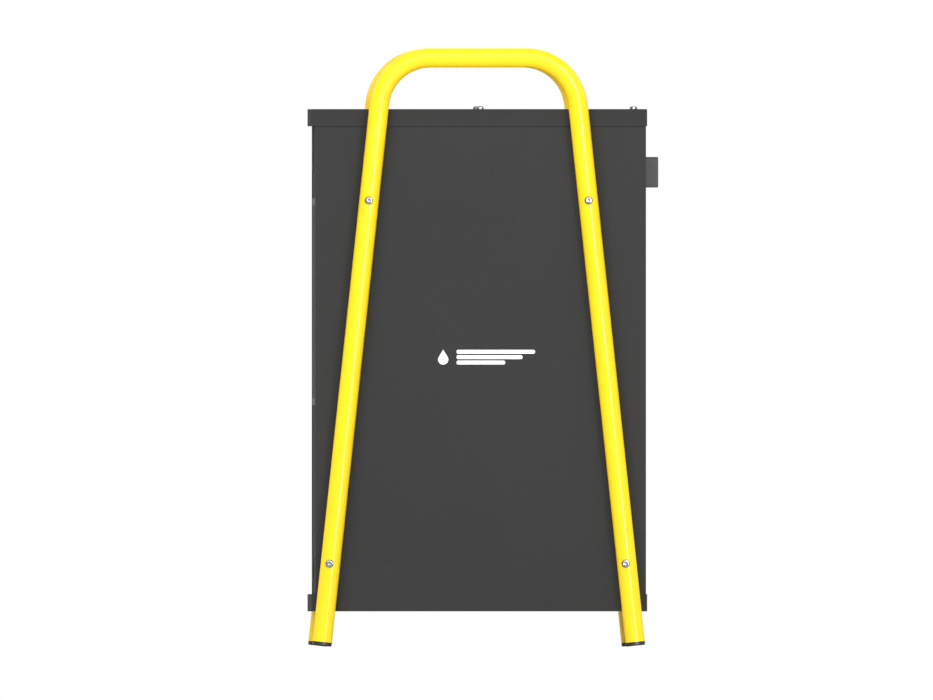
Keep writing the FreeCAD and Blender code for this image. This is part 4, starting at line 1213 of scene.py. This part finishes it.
class DEHUMIDIFIER_OT_stage(bpy.types.Operator):
    """Lay the floor, light it evenly and aim the camera at the left side"""
    bl_idname = "dehumidifier.stage"
    bl_label = "Studio stage"

    def execute(self, context):
        scene = context.scene
        scene.view_settings.view_transform = "Standard"
        work = bmesh.new()
        bmesh.ops.create_circle(work, cap_ends=True, segments=96, radius=studio().floor_radius,
                                matrix=Matrix.Translation((0, 0, -0.2 * MM)))
        coat(from_bmesh("studio_floor", work), "floor")
        self.light_room(scene)
        for lamp in LAMPS:
            self.add_area(*lamp)
        self.aim_camera(scene)
        return {"FINISHED"}

    def light_room(self, scene):
        """Even light all round, with a white background behind the object."""
        world = bpy.data.worlds.new("studio_room")
        world.use_nodes = True
        room = Graph(world.node_tree)
        even = room.nodes["Background"]
        even.inputs["Color"].default_value = (1, 1, 1, 1)
        even.inputs["Strength"].default_value = studio().fill_strength
        white = room.add("ShaderNodeBackground", {"Color": (1, 1, 1, 1), "Strength": 1.0})
        seen = room.add("ShaderNodeLightPath").outputs["Is Camera Ray"]
        mix = room.add("ShaderNodeMixShader", {0: seen, 1: even.outputs[0], 2: white.outputs[0]})
        room.links.new(mix.outputs[0], room.nodes["World Output"].inputs["Surface"])
        scene.world = world

    def add_area(self, name, place, size, power, lights_surfaces=True):
        light = bpy.data.lights.new(name, "AREA")
        light.shape = "RECTANGLE"
        light.size, light.size_y = size
        light.energy = power * studio().lamp_strength
        lamp = bpy.data.objects.new(name, light)
        lamp.location = place
        away = Vector(place) - Vector((0, 0, LAMP_AIM))
        lamp.rotation_euler = away.to_track_quat("Z", "Y").to_euler()
        lamp.visible_camera = False
        lamp.visible_diffuse = lights_surfaces
        bpy.context.scene.collection.objects.link(lamp)

    def aim_camera(self, scene):
        lens = bpy.data.cameras.new("camera")
        lens.type = "ORTHO"
        lens.ortho_scale = studio().view_width
        lens.clip_end = 50.0
        camera = bpy.data.objects.new("camera", lens)
        forward = Vector((math.cos(studio().yaw), -math.sin(studio().yaw), 0.0))
        target = Vector((0.0, studio().middle_y, studio().middle_z))
        camera.location = target - forward * CAMERA_BACK
        camera.rotation_euler = forward.to_track_quat("-Z", "Y").to_euler()
        scene.collection.objects.link(camera)
        scene.camera = camera


GROUPS = (("frame_sizes", FrameSizes), ("cabinet_sizes", CabinetSizes),
          ("moulded_sizes", MouldedSizes), ("finish_colours", FinishColours),
          ("stage_settings", StageSettings))
OPERATORS = (DEHUMIDIFIER_OT_coat_solids, DEHUMIDIFIER_OT_tube_frames, DEHUMIDIFIER_OT_screws,
             DEHUMIDIFIER_OT_cabinet, DEHUMIDIFIER_OT_side_marks, DEHUMIDIFIER_OT_air_outlet,
             DEHUMIDIFIER_OT_air_intake, DEHUMIDIFIER_OT_filter, DEHUMIDIFIER_OT_coil_fins,
             DEHUMIDIFIER_OT_fan, DEHUMIDIFIER_OT_console, DEHUMIDIFIER_OT_water,
             DEHUMIDIFIER_OT_mains, DEHUMIDIFIER_OT_feet, DEHUMIDIFIER_OT_stage)


class DEHUMIDIFIER_PT_surfaces(bpy.types.Panel):
    """Sidebar panel with the sizes, the colours and a button for each group of pieces"""
    bl_idname = "DEHUMIDIFIER_PT_surfaces"
    bl_label = "Dehumidifier"
    bl_space_type = "VIEW_3D"
    bl_region_type = "UI"
    bl_category = "Dehumidifier"

    def draw(self, context):
        for name, group in GROUPS:
            box = self.layout.box()
            box.label(text=name.replace("_", " ").capitalize())
            for field in group.__annotations__:
                box.prop(getattr(context.scene, name), field)
        for operator in OPERATORS:
            self.layout.operator(operator.bl_idname)


def register():
    for name, group in GROUPS:
        bpy.utils.register_class(group)
        setattr(bpy.types.Scene, name, PointerProperty(type=group))
    for operator in OPERATORS:
        bpy.utils.register_class(operator)
    bpy.utils.register_class(DEHUMIDIFIER_PT_surfaces)


def unregister():
    bpy.utils.unregister_class(DEHUMIDIFIER_PT_surfaces)
    for operator in reversed(OPERATORS):
        bpy.utils.unregister_class(operator)
    for name, group in reversed(GROUPS):
        delattr(bpy.types.Scene, name)
        bpy.utils.unregister_class(group)


def main():
    register()
    for operator in OPERATORS:
        family, name = operator.bl_idname.split(".")
        getattr(getattr(bpy.ops, family), name)()


if __name__ == "__main__":
    main()
